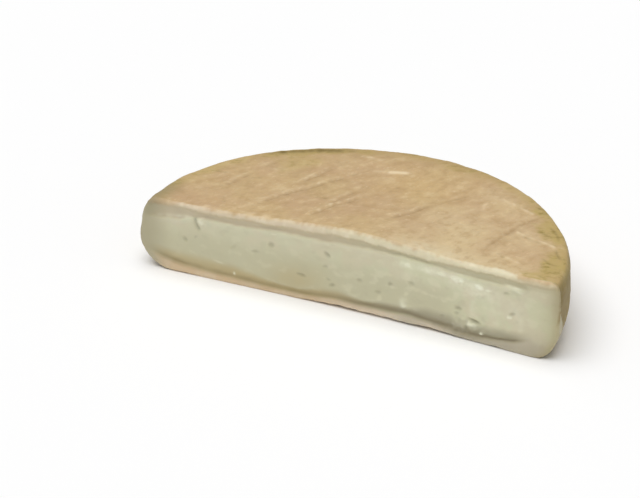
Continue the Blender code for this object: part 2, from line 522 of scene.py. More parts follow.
EYES = (
    Eye(-73, 17, 1.5, 0.9, -50, 0.7, 0.7),
    Eye(-68, 19, 0.9, 0.6, 30, 0.5, 0.4),
    Eye(-40, 18.2, 1.8, 0.7, 5, 0.7, 0.6),
    Eye(-50, 18, 1.6, 0.8, 30, 0.3, 0.3),
    Eye(-32.5, 23, 1.5, 1.2, 10, 0.8, 0.8),
    Eye(-18.5, 12, 2.2, 0.7, -8, 0.9, 0.8),
    Eye(-6.8, 24.2, 1.9, 0.9, -38, 1, 0.9),
    Eye(-7.5, 18.5, 1.4, 0.7, 10, 0.6, 0.6),
    Eye(-6, 12.6, 1.3, 0.6, -20, 0.5, 0.5),
    Eye(-4.3, 10.4, 1.5, 0.8, 12, 0.8, 0.8),
    Eye(8, 15.8, 1.3, 0.8, 0, 0.7, 0.6),
    Eye(16.5, 12.4, 1.5, 0.8, 0, 0.8, 0.7),
    Eye(22, 17.4, 1, 0.9, 0, 0.9, 0.7),
    Eye(31.5, 20.2, 1.5, 0.8, -12, 0.6, 0.6),
    Eye(52.5, 14, 1.5, 1, -15, 0.8, 0.9),
    Eye(51.8, 11.6, 1.1, 0.7, 0, 0.6, 0.6),
    Eye(59.6, 9.8, 3.2, 0.8, -13, 1.4, 1.2),
    Eye(45.5, 8.6, 1.2, 0.6, 0, 0.5, 0.5),
    Eye(72.8, 26.2, 1.4, 0.7, 8, 0.6, 0.6),
    Eye(75.8, 17.4, 1.6, 0.8, 30, 0.8, 0.8),
)

# Small marks on the cut: the first is a crease darkened by painted shade; the others, with tint below 0, are
# raised streaks lightened by painted highlight.
FACE_TRAILS = (
    Trail(((-68.2, 28.4), (-67.9, 26.2), (-67.2, 24), (-65.4, 22)), 0.8, -0.7, frayed=0.1, tint=0.8),
    Trail(((-66.4, 27.6), (-65.4, 26.6), (-64, 25.8)), 1.3, 0.45, tint=-0.4, frayed=0.1),
    Trail(((-88, 25.2), (-82, 26.3), (-75, 27.2), (-69.5, 28)), 0.9, 0.3, tint=-0.4),
    Trail(((59.5, 20), (58.4, 16.5), (59.2, 13.2), (61.4, 11)), 1.2, 0.25, tint=-0.25, frayed=0.3),
    Trail(((56.5, 8.3), (58.5, 7.7), (61, 7.9)), 1.1, 0.4, tint=-0.8, frayed=0.2),
    Trail(((77, 19.4), (79.4, 15.8), (80, 12), (78.6, 9.4)), 1.3, 0.2, tint=-0.2),
    Trail(((73.5, 15.4), (76, 15.9)), 0.8, 0.25, tint=-0.6),
    Trail(((71, 29.6), (76, 29), (81, 27.6)), 0.8, 0.4, tint=-0.45, frayed=0.2),
    Trail(((28.5, 13), (27.5, 10), (29, 7.8)), 1.5, 0.2, tint=-0.4),
    Trail(((62, 4.9), (63.4, 4.5)), 0.7, 0.4, tint=-1, frayed=0),
    Trail(((-50.3, 5.6), (-50, 4.4)), 0.5, 0.3, tint=-0.6, frayed=0),
)

# Wet patches: they raise small bumps, make the paste glossy and lighten it by painted highlight.
WET_PATCHES = (
    Patch(57, 25, 17, 4.5, -12, 0.5), Patch(29, 28, 5, 2, 0, 0.75), Patch(39, 28, 7, 2, -4, 0.75),
    Patch(45, 27.6, 4, 1.6, -8, 1), Patch(51.5, 27, 4, 1.6, -8, 1.5), Patch(61, 25.8, 2.6, 1.2, -25, 1.9),
    Patch(53.2, 26.6, 1.4, 0.9, 0, 1.5), Patch(65, 25.2, 1.6, 0.7, 0, 1),
    Patch(78.5, 27.6, 3.6, 0.8, -16, 0.2), Patch(67, 16.5, 8, 5.5, 0, 0.16),
    Patch(77, 19.5, 6, 7, 20, 0.18), Patch(57.5, 8.2, 3, 1.2, 5, 0.3), Patch(33, 23.5, 9, 3, 0, 0.16),
    Patch(62.6, 4.2, 0.9, 0.5, 10, 1.3), Patch(28.5, 8.6, 2.2, 1.6, 30, 0.25),
    Patch(-65.5, 26.2, 2.6, 1.5, -10, 0.35), Patch(-80, 25, 6, 0.7, 6, 0.1),
    Patch(-31.5, 28.2, 2, 0.5, 0, 0.5), Patch(-57.5, 9.2, 3, 0.6, -8, 0.4),
    Patch(-50.2, 5, 0.6, 0.9, 0, 0.5),
)

# Patches of painted shade: in the hollow near x -76, at the cut's upper left corner and at its right end.
SHADES = (
    Patch(-76, 28.5, 4, 3, strength=0.25), Patch(-93, 31, 5, 8, strength=0.35),
    Patch(95, 26, 6, 9, strength=0.22),
)


@dataclass(frozen=True)
class Line:
    """A line along the cut, by its points, along and up, and the noises that make it wander.

    Each noise has its size, a row number that sets it apart, and its share.
    """

    points: Path
    noises: Wander = ()

    def height(self, skin: Skin) -> np.ndarray:
        """Height of the line over the underside, at every point of the skin."""
        along, up = np.array(self.points, float).T
        return np.interp(skin.x, along, up) + skin.wander(self.noises)


CREAM_LINE = Line((
    (-95, -0.5), (-80, -0.3), (-70, 0), (-60, -0.7), (-50, -0.8), (-40, -0.6), (-30, 0),
    (-20, -0.3), (-10, -0.3), (10, -0.7), (20, -0.4), (30, -0.7), (40, -0.2), (50, 0),
    (60, 0.1), (66, 0.8), (70, 1.8), (74, 0.6), (78, -0.6), (95, -0.9),
), ((5, 1.7, 0.5), (1.8, 2.7, 0.45)))

LIP_LINE = Line((
    (-95, 30), (-80, 31.1), (-70, 31.5), (-60, 30.9), (-50, 31.1), (-40, 31.8), (-30, 31.8),
    (-20, 32.4), (-10, 33.2), (0, 33.8), (10, 33.8), (20, 33), (30, 32.5), (38, 32),
    (50, 32.2), (60, 32.5), (80, 32.2), (95, 33.2),
), ((2.4, 0.3, 0.35), (0.9, 4.3, 0.21), (8, 3.1, 0.4)))

HOLLOW_LINE = Line((
    (-95, 24.3), (-88, 25), (-80, 25.6), (-75, 26), (-70, 28), (-60, 28.4), (-50, 28.1),
    (-40, 28.9), (-30, 29.7), (-20, 29.9), (-10, 29.9), (0, 30.7), (10, 31), (20, 31.1),
    (40, 30.8), (50, 29.3), (70, 29), (78, 29.4), (95, 29),
), ((5, 2.2, 0.35), (1.7, 8.2, 0.2)))

GROOVE_LINE = Line((
    (-90, 8.6), (-84, 6.6), (-78, 5.2), (-70, 4.2), (-60, 3.7), (-50, 3.2), (-38, 2.9),
    (-27, 3), (-20, 2.7), (-14, 3.3), (-6, 4.2), (4, 4.2), (14, 4.5), (22, 4.9),
    (28, 5.6), (34, 5), (42, 4.1), (48, 3.8), (52.5, 2.8), (58, 3.1), (64, 3.4),
    (70, 3.7), (77, 5.1), (84, 7.8), (90, 6.6),
), ((5, 7.7, 0.3),))

FOOT_LINE = Line((
    (-95, 0.6), (-72, 0.5), (-64, 0), (-34, 0), (-20, 0.2), (-10, 0.8), (0, 1.3),
    (10, 1), (32, 1), (40, 1.5), (46, 1), (52, 0.6), (60, 0.3), (70, 0.5), (78, 0),
    (85, 0.1), (95, 1),
), ((4, 5.2, 0.2), (1.5, 0.5, 0.15)))

WALL_REACH = Line((
    (-90, 5), (-80, 6.5), (-74, 7.6), (-60, 8), (-50, 7.4), (-40, 5.2), (-30, 2.6),
    (-20, 2), (-10, 5), (0, 5), (10, 2.2), (20, 4), (30, 3.4), (38, 7.4), (50, 8),
    (60, 6.6), (70, 6.8), (78, 5.2), (90, 4),
))


@dataclass(frozen=True)
class CutFace:
    """The knife's cut: rind lips above and below, a hollow, a ledge and the paste with its eyes."""

    lip_proud: float = 0.3
    lip_turn: Band = (-1.0, 1.4)
    hollow_depth: float = 0.75
    hollow_turn: Band = (-0.4, 0.4)
    hollow_start: Band = (-97.0, -90.0)
    hollow_end: Band = (79.0, 85.0)
    ledge: Band = (1.0, 1.3)
    ledge_proud: float = 0.25
    # The ledge's wetness, which also lays a painted highlight along it.
    ledge_wet: float = 0.1
    swell: float = 0.6
    flat_ends: Band = (0.93, 0.995)
    groove_depth: float = 0.55
    groove_width: float = 1.4
    groove_narrower: Change = (58.0, 70.0, 0.35)
    groove_start: Band = (-93.0, -83.0)
    groove_end: Band = (75.0, 86.0)
    # How dark the foot's groove is; this share sets both the groove's depth and its painted shade.
    groove_dark: float = 0.6
    groove_darker: tuple[Change, ...] = ((-68.0, -80.0, 0.25), (-15.0, 40.0, 0.45))
    dark_noise: Wander = ((6.0, 9.9, 0.2),)
    groove_torn: Lobe = (52.0, 9.0, 0.5)
    torn_noise: Wander = ((1.6, 6.6, 1.0),)
    # The wall over the groove sinks a little and takes painted shade where the paste bulges over it.
    wall_depth: float = 0.275
    wall_fade: Band = (0.25, 1.0)
    wall_foot: Band = (-1.2, 0.0)
    wall_paler: Change = (-50.0, -66.0, 0.15)
    foot_proud: float = 0.4
    foot_below: float = 0.5
    foot_dip: Lobe = (25.0, 14.0, 0.8)
    foot_fade: Band = (76.0, 86.0)
    foot_rise: float = 1.2
    foot_edge: float = 0.7
    foot_blur: float = 2.0
    foot_start: Band = (-93.0, -84.0)
    foot_thinner: Change = (89.0, 95.0, 0.7)
    grain: Grain = ((13.0, 0.24), (4.5, 0.10), (1.5, 0.03))
    drag_grain: Grain = (((0.9, 9.0, 3.5), 1.0),)
    dragged: tuple[tuple[str, float], ...] = (("lip", 0.16), ("hollow", 0.14), ("foot", 0.15))
    mark_core: float = 0.8
    eye_depth: float = 0.6
    eye_slope: Band = (0.2, 1.2)
    eye_raised: Lobe = (1.5, 0.4, 0.08)
    # How strong the painted shade in the eyes is.
    eye_dark: float = 0.7
    eye_shade: Band = (0.2, 1.4)
    wet_rise: float = 0.3
    wet_evenness: float = 0.75
    wet_grain: Grain = ((2.2, 0.45), (1.1, 0.35))
    wettest: float = 1.6
    gleam_share: float = 0.8
    gleam_most: float = 1.5
    torn: Patch = Patch(56.0, 6.5, 11.0, 4.5, 8.0)
    torn_grain: Grain = ((1.9, 1.0),)
    torn_height: float = 0.4
    # Painted shade and painted highlights on the torn bumps.
    torn_dark: float = 0.9
    torn_bright: float = 0.4
    haze: Patch = Patch(38.0, 0.0, 16.0, 8.0, strength=0.5)
    haze_evenness: float = 0.8
    haze_grain: Grain = ((2.4, 0.5),)
    butter: Patch = Patch(-22.0, 9.0, 16.0, 8.0, 10.0)
    # Painted shade in the lower right corner of the cut, laid on with the foot's colour.
    corner_shade: Patch = Patch(88.0, 3.5, 10.0, 7.5, strength=0.8)
    shade_start: Band = (76.0, 84.0)
    corner_start: Band = (79.0, 84.0)
    corner_end: Band = (89.0, 94.0)
    corner_top: Band = (29.5, 31.0)
    corner_share: float = 0.8
    rim_grain: Grain = ((1.6, 0.4),)
    rim_turn: Band = (0.2, 1.4)
    rim_back: Change = (15.0, 26.0, 0.8)
    # Painted shade near the rim in the right half of the cut, and where the paste turns into the rim at the
    # right end.
    near_rim: tuple[Lobe, ...] = ((0.0, 3.5, 0.45), (0.0, 10.0, 0.25))
    near_rim_start: Band = (0.0, 40.0)
    right_end: Band = (80.0, 88.0)
    low_end: Band = (22.0, 15.0)
    turn_reach: Change = (23.0, 12.0, 5.5)
    turn_least: float = 0.4
    turn_edge: Band = (0.6, 1.1)
    turn_shade: float = 0.9
    cream_grain: Grain = ((1.7, 0.25), (5.0, 0.5))
    cream_edge: Band = (-0.9, 1.3)
    cream_least: float = 0.15
    cream_more: tuple[Change, ...] = ((-86.0, -72.0, 0.85), (70.0, 82.0, -0.3))
    # Where the paste takes its painted shade low down, fading out towards the right.
    low_grain: Grain = ((12.0, 2.0),)
    low_level: Band = (26.0, 16.5)
    low_stop: Band = (42.0, 58.0)
    # Painted shade on the foot, from x 38 on to the right end and round x 31.
    foot_shade_start: Band = (38.0, 52.0)
    foot_shade_spot: Lobe = (31.0, 8.0, 0.7)

    def runs(self, skin: Skin) -> dict[str, np.ndarray]:
        """Measure the face's long runs.

        Args:
            skin: The half wheel's surface.

        Returns:
            A share for the lip, the hollow, the ledge, the groove, the wall over it and the foot.
        """
        x, z = skin.x, skin.z
        inwards = soft_step(*self.lip_turn, LIP_LINE.height(skin) - z)
        hollow = HOLLOW_LINE.height(skin)
        outwards = soft_step(*self.hollow_turn, hollow - z)
        hollow_run = between(self.hollow_start, self.hollow_end, x)
        groove = GROOVE_LINE.height(skin) + skin.wander(self.torn_noise) * lobes(x, self.groove_torn)
        groove_run = between(self.groove_start, self.groove_end, x)
        width = self.groove_width * (1.0 - changes(x, self.groove_narrower))
        dark = self.groove_dark + changes(x, *self.groove_darker) + skin.wander(self.dark_noise)
        wall = 1.0 - soft_step(*self.wall_fade, (z - groove) / WALL_REACH.height(skin))
        wall = wall * (1.0 - changes(x, self.wall_paler)) * soft_step(*self.wall_foot, z - groove)
        fading = soft_step(*self.foot_fade, x)
        foot_top = groove - self.foot_below - lobes(x, self.foot_dip) + self.foot_rise * fading
        edge = self.foot_edge + self.foot_blur * fading
        foot = soft_step(-edge, edge, foot_top - z) * soft_step(*self.foot_start, x)
        return {
            "lip": 1.0 - inwards,
            "hollow": inwards * (1.0 - outwards) * hollow_run,
            "ledge": bell(hollow - z, *self.ledge) * hollow_run,
            "groove": bell(z - groove, 0.0, width) * groove_run * dark,
            "wall": wall * groove_run,
            "foot": foot * (1.0 - changes(x, self.foot_thinner)),
        }

    def depth(self, skin: Skin) -> np.ndarray:
        """How deep the face lies behind its smooth shape.

        Args:
            skin: The half wheel's surface.

        Returns:
            The depth at every point, above 0 into the cheese.
        """
        runs = self.runs(skin)
        depth = self.hollow_depth * runs["hollow"] + self.groove_depth * runs["groove"]
        depth -= self.lip_proud * runs["lip"] + self.ledge_proud * runs["ledge"]
        depth += self.wall_depth * runs["wall"] - self.foot_proud * runs["foot"]
        depth -= self.swell * np.sin(math.pi * skin.z / (skin.z + skin.below_top))
        return depth * (1.0 - soft_step(*self.flat_ends, np.abs(skin.across)))

    def fine_depth(self, skin: Skin) -> np.ndarray:
        """Depth of the face's small forms: eyes, smears, drag marks and wet bumps.

        Args:
            skin: The half wheel's surface.

        Returns:
            The depth at every point, above 0 into the cheese.
        """
        runs = self.runs(skin)
        depth = skin.rough(self.grain)
        depth += skin.rough(self.drag_grain) * sum(height * runs[run] for run, height in self.dragged)
        depth -= self.torn_height * skin.rough(self.torn_grain) * self.torn.cover(skin.front)
        for eye in EYES:
            away = eye.away(skin.front)
            depth += self.eye_depth * eye.depth * (1.0 - soft_step(*self.eye_slope, away))
            depth -= lobes(away, self.eye_raised)
        for trail in FACE_TRAILS:
            apart, strength = trail.follow(skin.front, skin.noise)
            depth -= trail.height * bell(apart, 0.0, trail.width) * strength
        return depth - self.wet_rise * self.wet(skin)

    def wet(self, skin: Skin) -> np.ndarray:
        """How wet the paste is at every point, which also places its painted highlights."""
        broken = self.wet_evenness + skin.rough(self.wet_grain)
        places = [self.ledge_wet * self.runs(skin)["ledge"]]
        places += [patch.cover(skin.front) * broken for patch in WET_PATCHES]
        return np.clip(np.max(places, axis=0), 0.0, self.wettest)

    def cream(self, skin: Skin) -> np.ndarray:
        """How creamy the brink of the rind is, over and under the cut's upper edge."""
        over_edge = np.where(skin.on_cut > 0.5, -skin.below_top, skin.behind)
        past = over_edge - CREAM_LINE.height(skin) + skin.rough(self.cream_grain)
        cream = 1.0 - soft_step(*self.cream_edge, past)
        cream *= self.cream_least + changes(skin.x, *self.cream_more)
        haze = self.haze.cover(np.column_stack((skin.x, over_edge)))
        return np.maximum(cream, haze * (self.haze_evenness + skin.rough(self.haze_grain)))

    def marks(self, skin: Skin) -> tuple[np.ndarray, np.ndarray]:
        """Gather the face's small marks, with their painted shade and painted highlights.

        Args:
            skin: The half wheel's surface.

        Returns:
            How dark their painted shade and how bright their painted highlights are at every point.
        """
        torn = self.torn.cover(skin.front) * skin.rough(self.torn_grain)
        dark = np.maximum(-self.torn_dark * torn, 0.0)
        bright = np.maximum(self.torn_bright * torn, 0.0)
        for eye in EYES:
            shade = 1.0 - soft_step(*self.eye_shade, eye.away(skin.front))
            dark = np.maximum(dark, self.eye_dark * eye.strength * shade)
        for trail in FACE_TRAILS:
            apart, strength = trail.follow(skin.front, skin.noise)
            mark = trail.tint * bell(apart, 0.0, self.mark_core * trail.width) * strength
            dark = np.maximum(dark, mark)
            bright = np.maximum(bright, -mark)
        for patch in SHADES:
            dark = np.maximum(dark, patch.cover(skin.front))
        return dark, bright

    def coats(self, skin: Skin) -> Coats:
        """Masks of the cut face.

        Args:
            skin: The half wheel's surface.

        Returns:
            The masks by name.
        """
        runs = self.runs(skin)
        x, z = skin.x, skin.z
        fine = skin.rough(self.rim_grain)
        at_right = soft_step(*self.right_end, x)
        rim_edge = soft_step(*self.rim_turn, skin.from_rim + fine + changes(z, self.rim_back))
        rim_edge = np.maximum(rim_edge, at_right * soft_step(*self.low_end, z))
        turn = self.turn_least + fine + changes(z, self.turn_reach)
        turned = (1.0 - skin.on_cut) * at_right * (1.0 - soft_step(*self.turn_edge, skin.behind / turn))
        near_rim = soft_step(*self.near_rim_start, x) * lobes(skin.from_rim, *self.near_rim)
        dark, bright = self.marks(skin)
        low = soft_step(*self.low_level, z + skin.rough(self.low_grain))
        shade = self.corner_shade.cover(skin.front) * soft_step(*self.shade_start, x) * rim_edge
        # Painted shade in the upper corner at the right end, laid on with the hollow's colour.
        corner = between(self.corner_start, self.corner_end, x) * soft_step(*self.corner_top, z)
        foot_shade = np.maximum(soft_step(*self.foot_shade_start, x), lobes(x, self.foot_shade_spot))
        on_cut = {
            Coat.PASTE: (1.0 - runs["lip"]) * rim_edge,
            Coat.HOLLOW_SHADE: np.maximum(runs["hollow"], self.corner_share * corner),
            Coat.FOOT: np.maximum(runs["foot"], shade),
            Coat.FOOT_SHADE: foot_shade,
            Coat.FOOT_GROOVE_SHADE: runs["groove"],
            Coat.MARK_SHADE: dark,
            Coat.GLEAM: np.clip(self.gleam_share * bright + self.wet(skin), 0.0, self.gleam_most),
            Coat.BUTTER: self.butter.cover(skin.front),
            Coat.LOW_SHADE: low * (1.0 - soft_step(*self.low_stop, x)),
            Coat.WALL_SHADE: runs["wall"] * rim_edge,
            Coat.RIM: 1.0 - rim_edge,
            Coat.RIGHT_EDGE_SHADE: near_rim,
        }
        coats = {coat: skin.on_cut * values for coat, values in on_cut.items()}
        coats[Coat.PASTE] = np.maximum(coats[Coat.PASTE], turned)
        coats[Coat.RIGHT_EDGE_SHADE] = np.maximum(coats[Coat.RIGHT_EDGE_SHADE], self.turn_shade * turned)
        on_lip = np.where(skin.on_cut > 0.5, runs["lip"] * rim_edge, skin.on_top)
        coats[Coat.CREAM] = self.cream(skin) * on_lip
        return coats


# The rind

# Rack marks: each sinks a groove and throws up a ridge on its left; the groove is darkened by painted shade
# and the ridge lightened by painted highlight.
RACK_MARKS = (
    Trail(((-69, 22), (-67, 26), (-64.5, 30), (-63, 36), (-60.5, 44)), 0.8, -0.4, ridge=0.35, tint=0.8),
    Trail(((-60, 46), (-58.5, 51), (-57, 55), (-55, 60)), 0.8, -0.35, ridge=0.15, tint=0.7),
    Trail(((-46, 14), (-44, 19), (-41.5, 23), (-39, 27.5), (-35.5, 33), (-32, 38.5), (-28, 46.5), (-25, 52),
           (-20, 60), (-13, 70)), 0.9, -0.6, ridge=0.45),
    Trail(((-38.5, 38), (-37.5, 42), (-36, 48), (-34, 53), (-32, 60), (-29, 68), (-26.5, 76)),
          0.8, -0.45, ridge=0.4, tint=0.8),
    Trail(((-20, 9), (-18.5, 14), (-16.5, 19), (-15, 24), (-12.5, 28), (-10, 32), (-8.5, 36), (-4.5, 43)),
          0.9, -0.6, ridge=0.5),
    Trail(((-17.5, 22), (-16, 29), (-14.5, 35), (-13, 41), (-11.5, 48), (-10, 57)),
          0.6, -0.3, ridge=0.25, tint=0.6),
    Trail(((12.5, 23), (15, 29), (17.5, 33), (19.5, 38.5), (23.5, 46.5)), 0.9, -0.5, ridge=0.35, frayed=0.3),
    Trail(((24, 48), (28, 54), (31.5, 59), (34, 65)), 0.8, -0.35, ridge=0.15, tint=0.7),
    Trail(((0, 50), (3, 56)), 0.7, -0.25, tint=0.6),
    Trail(((56, 15), (57, 22), (58.3, 28), (60, 35), (61.5, 42), (63.5, 48), (66.5, 52.5), (72, 55)),
          0.8, -0.55, ridge=0.15, tint=0.9),
)

# Crossing ridges: raised, and lightened by painted highlight.
CROSSING_RIDGES = (
    Trail(((62, 39), (64, 36.5), (68, 35), (75, 33), (81, 31), (86, 25)), 0.8, 0.4, tint=-0.75),
    Trail(((44, 65), (50, 61.5), (56, 58.5), (62, 56), (66, 54)), 0.8, 0.4, tint=-0.7, frayed=0.9),
    Trail(((61, 19), (63, 15.5), (66, 14), (72, 12), (78, 8)), 0.8, 0.3, tint=-0.5, frayed=0.9),
    Trail(((75, 5), (78, 2)), 0.7, 0.25, tint=-0.6),
    Trail(((-8.5, 66.7), (1.5, 70.3)), 1.4, 0.15, tint=-1.6, frayed=0),
    Trail(((-15, 65.5), (-7, 67)), 1.2, 0.1, tint=-0.5, frayed=0.2),
    Trail(((-26, 78), (-20, 77.5), (-13, 76)), 1, 0.15, tint=-0.6),
    Trail(((42, 57), (43, 50)), 0.8, 0.15, tint=-0.6, frayed=0.9),
)

CREASES = (
    Trail(((-26, 30.3), (-19, 30.6)), 0.7, -0.25, tint=0.45),
    Trail(((-77, 36), (-71, 37)), 0.7, -0.25, tint=0.4),
    Trail(((-60, 37), (-55, 38.5)), 0.6, -0.2, tint=0.4),
    Trail(((64, 36), (70, 33.5), (77, 31.5)), 0.7, -0.25, tint=0.3),
    Trail(((63, 62), (66, 61.5)), 0.7, -0.35, tint=0.7),
    Trail(((66, 58), (69, 57)), 0.7, -0.35, tint=0.7),
    Trail(((83, 29), (85, 25), (88, 21)), 0.6, -0.3, tint=0.7, frayed=0.3),
    Trail(((80, 20), (85, 16.5), (89, 16)), 0.6, -0.25, tint=0.5, frayed=0.3),
    Trail(((70, 43), (75, 40), (80, 39)), 0.6, -0.3, tint=0.5, frayed=0.3),
    Trail(((74, 47), (78, 43), (82, 36)), 0.6, -0.25, tint=0.6, frayed=0.3),
    Trail(((62, 16.5), (67, 13)), 0.6, -0.25, tint=0.4),
    Trail(((-62, 15), (-59, 10)), 0.7, -0.25, tint=0.4),
    Trail(((-65, 61.5), (-59, 66), (-52, 71), (-45, 75), (-37, 78.5), (-28, 81.5)),
          1.6, -0.15, tint=1.3, frayed=0.4),
)

FLECKS = (
    Patch(-66, 33.5, 1.4, 3.5, -20, 0.8), Patch(-35.6, 37.5, 1, 2, -15, 0.7),
    Patch(-26, 58, 1.8, 1, 40, 0.8), Patch(-20.5, 15.5, 0.9, 3, -20, 0.8),
    Patch(-18.6, 20.5, 0.8, 1.8, -20, 0.7), Patch(-12, 32.5, 1.6, 1, 40, 1),
    Patch(-9.5, 38.5, 1.2, 2, -30, 0.9), Patch(10, 27, 1.4, 0.9, 0, 0.8), Patch(14, 29, 1.2, 0.8, 20, 0.7),
    Patch(18.5, 29, 1.4, 0.8, -10, 0.7), Patch(19, 25, 1.2, 0.8, 0, 0.6), Patch(9, 20, 1.4, 0.9, 0, 0.7),
    Patch(45, 58, 1.8, 1, 0, 0.9), Patch(42, 54, 1.4, 0.9, 0, 0.6), Patch(38, 27, 1.6, 0.9, 0, 0.7),
    Patch(35, 40, 1.4, 0.8, 0, 0.6), Patch(-76, 18, 2, 3, 0, 0.4), Patch(-53.5, 48.5, 1.8, 1.2, 0, 0.6),
    Patch(-20, 77, 5, 1.6, 0, 0.6), Patch(26, 62, 3, 1, 20, 0.6), Patch(85.5, 32, 3, 1.5, 40, 0.6),
)

STAINS = (
    Patch(-60, 63, 6, 3, 45, 0.9), Patch(-51, 70, 9, 4, 34, 1.3), Patch(-38, 77.5, 7, 3, 25, 1.3),
    Patch(-49, 60, 10, 10, 35, 0.45), Patch(-25, 82, 6, 2.6, 0, 0.9), Patch(20, 84, 9, 3, 0, 0.8),
    Patch(77.5, 44, 6.5, 12, 32, 1.1), Patch(87.5, 17, 6, 15, 8, 1.1), Patch(45, 76, 10, 3, -30, 0.5),
    Patch(-82, 36, 5, 12, -30, 0.6), Patch(67, 59, 4, 7, 40, 1), Patch(85, 3, 7, 4, 0, 0.8),
)

FAIR_ZONES = (
    Patch(46, 26, 34, 34, -10, 0.75), Patch(54, 4, 42, 11, 0, 0.75), Patch(44, 64, 12, 9, -30, 0.6),
)
GOLD_ZONE = Patch(12, 60, 26, 26)


@dataclass(frozen=True)
class Rind:
    """The washed rind: slow swells, streaks along the rack's run, wrinkles and all its marks."""

    swells: Grain = ((17.0, 0.30), (6.0, 0.14), (2.6, 0.07), (1.3, 0.03))
    streak_height: float = 0.04
    streak_turn: float = 72.0
    streak_grain: Grain = (((9.0, 2.4, 6.0), 1.0), ((3.4, 1.5, 3.0), 0.7))
    wrinkles: Grain = (((5.0, 3.2, 3.2), 0.09),)
    wrinkle_level: float = 0.027
    ridge_offset: float = 1.5
    ridge_width: float = 0.9
    # How bright the painted highlight on the rack's ridges is.
    ridge_light: float = 1.7
    light_width: float = 1.3
    light_ends: Band = (0.3, 1.0)
    light_grain: Grain = ((1.8, 1.0),)
    light_broken: Band = (-0.1, 0.6)
    core_offset: float = -0.1
    core_share: float = 0.65
    soft_shadow: Lobe = (-1.5, 3.0, 0.35)
    rim_swells: Grain = (((22.0, 22.0, 9.0), 0.25), ((9.0, 9.0, 1.8), 0.12))
    lip_bead: Lobe = (1.6, 1.6, 0.15)
    mark_share: float = 0.75
    mark_width: float = 1.4
    fleck_height: float = 0.2
    fleck_light: float = 1.2
    fleck_grain: Grain = ((1.6, 1.0),)
    fleck_broken: Band = (-0.3, 0.5)
    brink_drop: Lobe = (0.0, 9.0, 0.25)
    brink_start: Band = (2.0, 12.0)
    crumbs: Lobe = (1.0, 2.5, 0.6)
    crumbs_start: Band = (-84.0, -78.0)
    crumb_grain: Grain = ((4.5, 1.0),)
    crumb_broken: Band = (0.1, 0.8)
    ragged: Grain = ((9.0, 0.35), (3.5, 0.25))
    gold_grain: Grain = ((12.0, 0.3),)
    fair_grain: Grain = ((14.0, 0.25),)
    stain_edge: Band = (0.4, 1.4)
    brink_stain: Lobe = (0.0, 4.0, 1.0)
    brink_evenness: float = 0.6
    # Painted shade along the top's brink, on the left.
    edge_shade: Lobe = (0.0, 9.0, 0.4)
    edge_start: Band = (-75.0, -45.0)
    edge_paler: Change = (15.0, 45.0, 0.7)
    side_start: Band = (0.0, 0.08)
    shoulder_end: Band = (0.0, 0.15)
    side_crack: Lobe = (0.0, 5.0, 0.6)
    side_paler: Change = (35.0, 65.0, 0.4)
    # Painted shade at the left end, where the cut and the rind turn away, strongest towards the top.
    end_reach: Band = (-77.0, -94.0)
    end_stop: Band = (8.0, 26.0)
    end_share: float = 0.85
    end_top: Change = (22.0, 30.0, 0.4)

    def streaks(self, skin: Skin) -> np.ndarray:
        """Noise that is drawn out along the rack's run."""
        turn = math.radians(self.streak_turn)
        x, y, z = skin.places.T
        along = x * math.cos(turn) + y * math.sin(turn)
        aside = y * math.cos(turn) - x * math.sin(turn)
        drawn = np.column_stack((along, aside, z))
        return sum(share * skin.noise.at(drawn, sizes) for sizes, share in self.streak_grain)

    def rise(self, skin: Skin) -> np.ndarray:
        """How far the rind stands out of its smooth shape.

        Args:
            skin: The half wheel's surface.

        Returns:
            The height at every point, out of the cheese.
        """
        top = skin.on_top
        side = (1.0 - top) * soft_step(*self.shoulder_end, 1.0 - skin.level)
        rise = skin.rough(self.swells) + self.streak_height * self.streaks(skin)
        rise += self.wrinkle_level - np.abs(skin.rough(self.wrinkles)) + side * skin.rough(self.rim_swells)
        rise += lobes(skin.behind, self.lip_bead) * top
        rise -= lobes(skin.from_rim, self.brink_drop) * soft_step(*self.brink_start, skin.behind)
        for trail in (*RACK_MARKS, *CROSSING_RIDGES, *CREASES):
            apart, strength = trail.follow(skin.plan, skin.noise)
            mark = trail.height * bell(apart, 0.0, self.mark_width * trail.width)
            mark += trail.ridge * bell(apart, self.ridge_offset, self.ridge_width)
            rise += self.mark_share * mark * strength * top
        broken = soft_step(*self.fleck_broken, skin.rough(self.fleck_grain)) * top
        for fleck in FLECKS:
            rise += self.fleck_height * fleck.cover(skin.plan) * broken
        return rise

    def light_marks(self, skin: Skin) -> np.ndarray:
        """How bright the ridges' painted highlight and the pale flecks and crumbs are.

        Args:
            skin: The half wheel's surface.

        Returns:
            The brightest mark at every point.
        """
        broken = blend(self.light_ends, soft_step(*self.light_broken, skin.rough(self.light_grain)))
        crumbs = lobes(skin.behind, self.crumbs) * soft_step(*self.crumb_broken, skin.rough(self.crumb_grain))
        marks = [crumbs * soft_step(*self.crumbs_start, skin.x)]
        for trail in RACK_MARKS:
            apart, strength = trail.follow(skin.plan, skin.noise)
            light = self.ridge_light * trail.ridge * bell(apart, self.ridge_offset, self.light_width)
            marks.append(light * broken * strength)
        for trail in CROSSING_RIDGES:
            apart, strength = trail.follow(skin.plan, skin.noise)
            marks.append(-trail.tint * bell(apart, 0.0, trail.width) * strength)
        marks += [self.fleck_light * fleck.cover(skin.plan) * broken for fleck in FLECKS]
        return np.max(marks, axis=0)

    def dark_marks(self, skin: Skin) -> tuple[np.ndarray, np.ndarray]:
        """How dark the rack's marks, with their painted shade, and the creases are.

        Args:
            skin: The half wheel's surface.

        Returns:
            The darkest rack mark and the darkest crease at every point.
        """
        grooves, cracks = [], []
        for trail in RACK_MARKS:
            apart, strength = trail.follow(skin.plan, skin.noise)
            shadow = lobes(apart, (self.core_offset, trail.width, self.core_share), self.soft_shadow)
            grooves.append(trail.tint * shadow * strength)
        for trail in CREASES:
            apart, strength = trail.follow(skin.plan, skin.noise)
            cracks.append(trail.tint * bell(apart, 0.0, trail.width) * strength)
        return np.max(grooves, axis=0), np.max(cracks, axis=0)

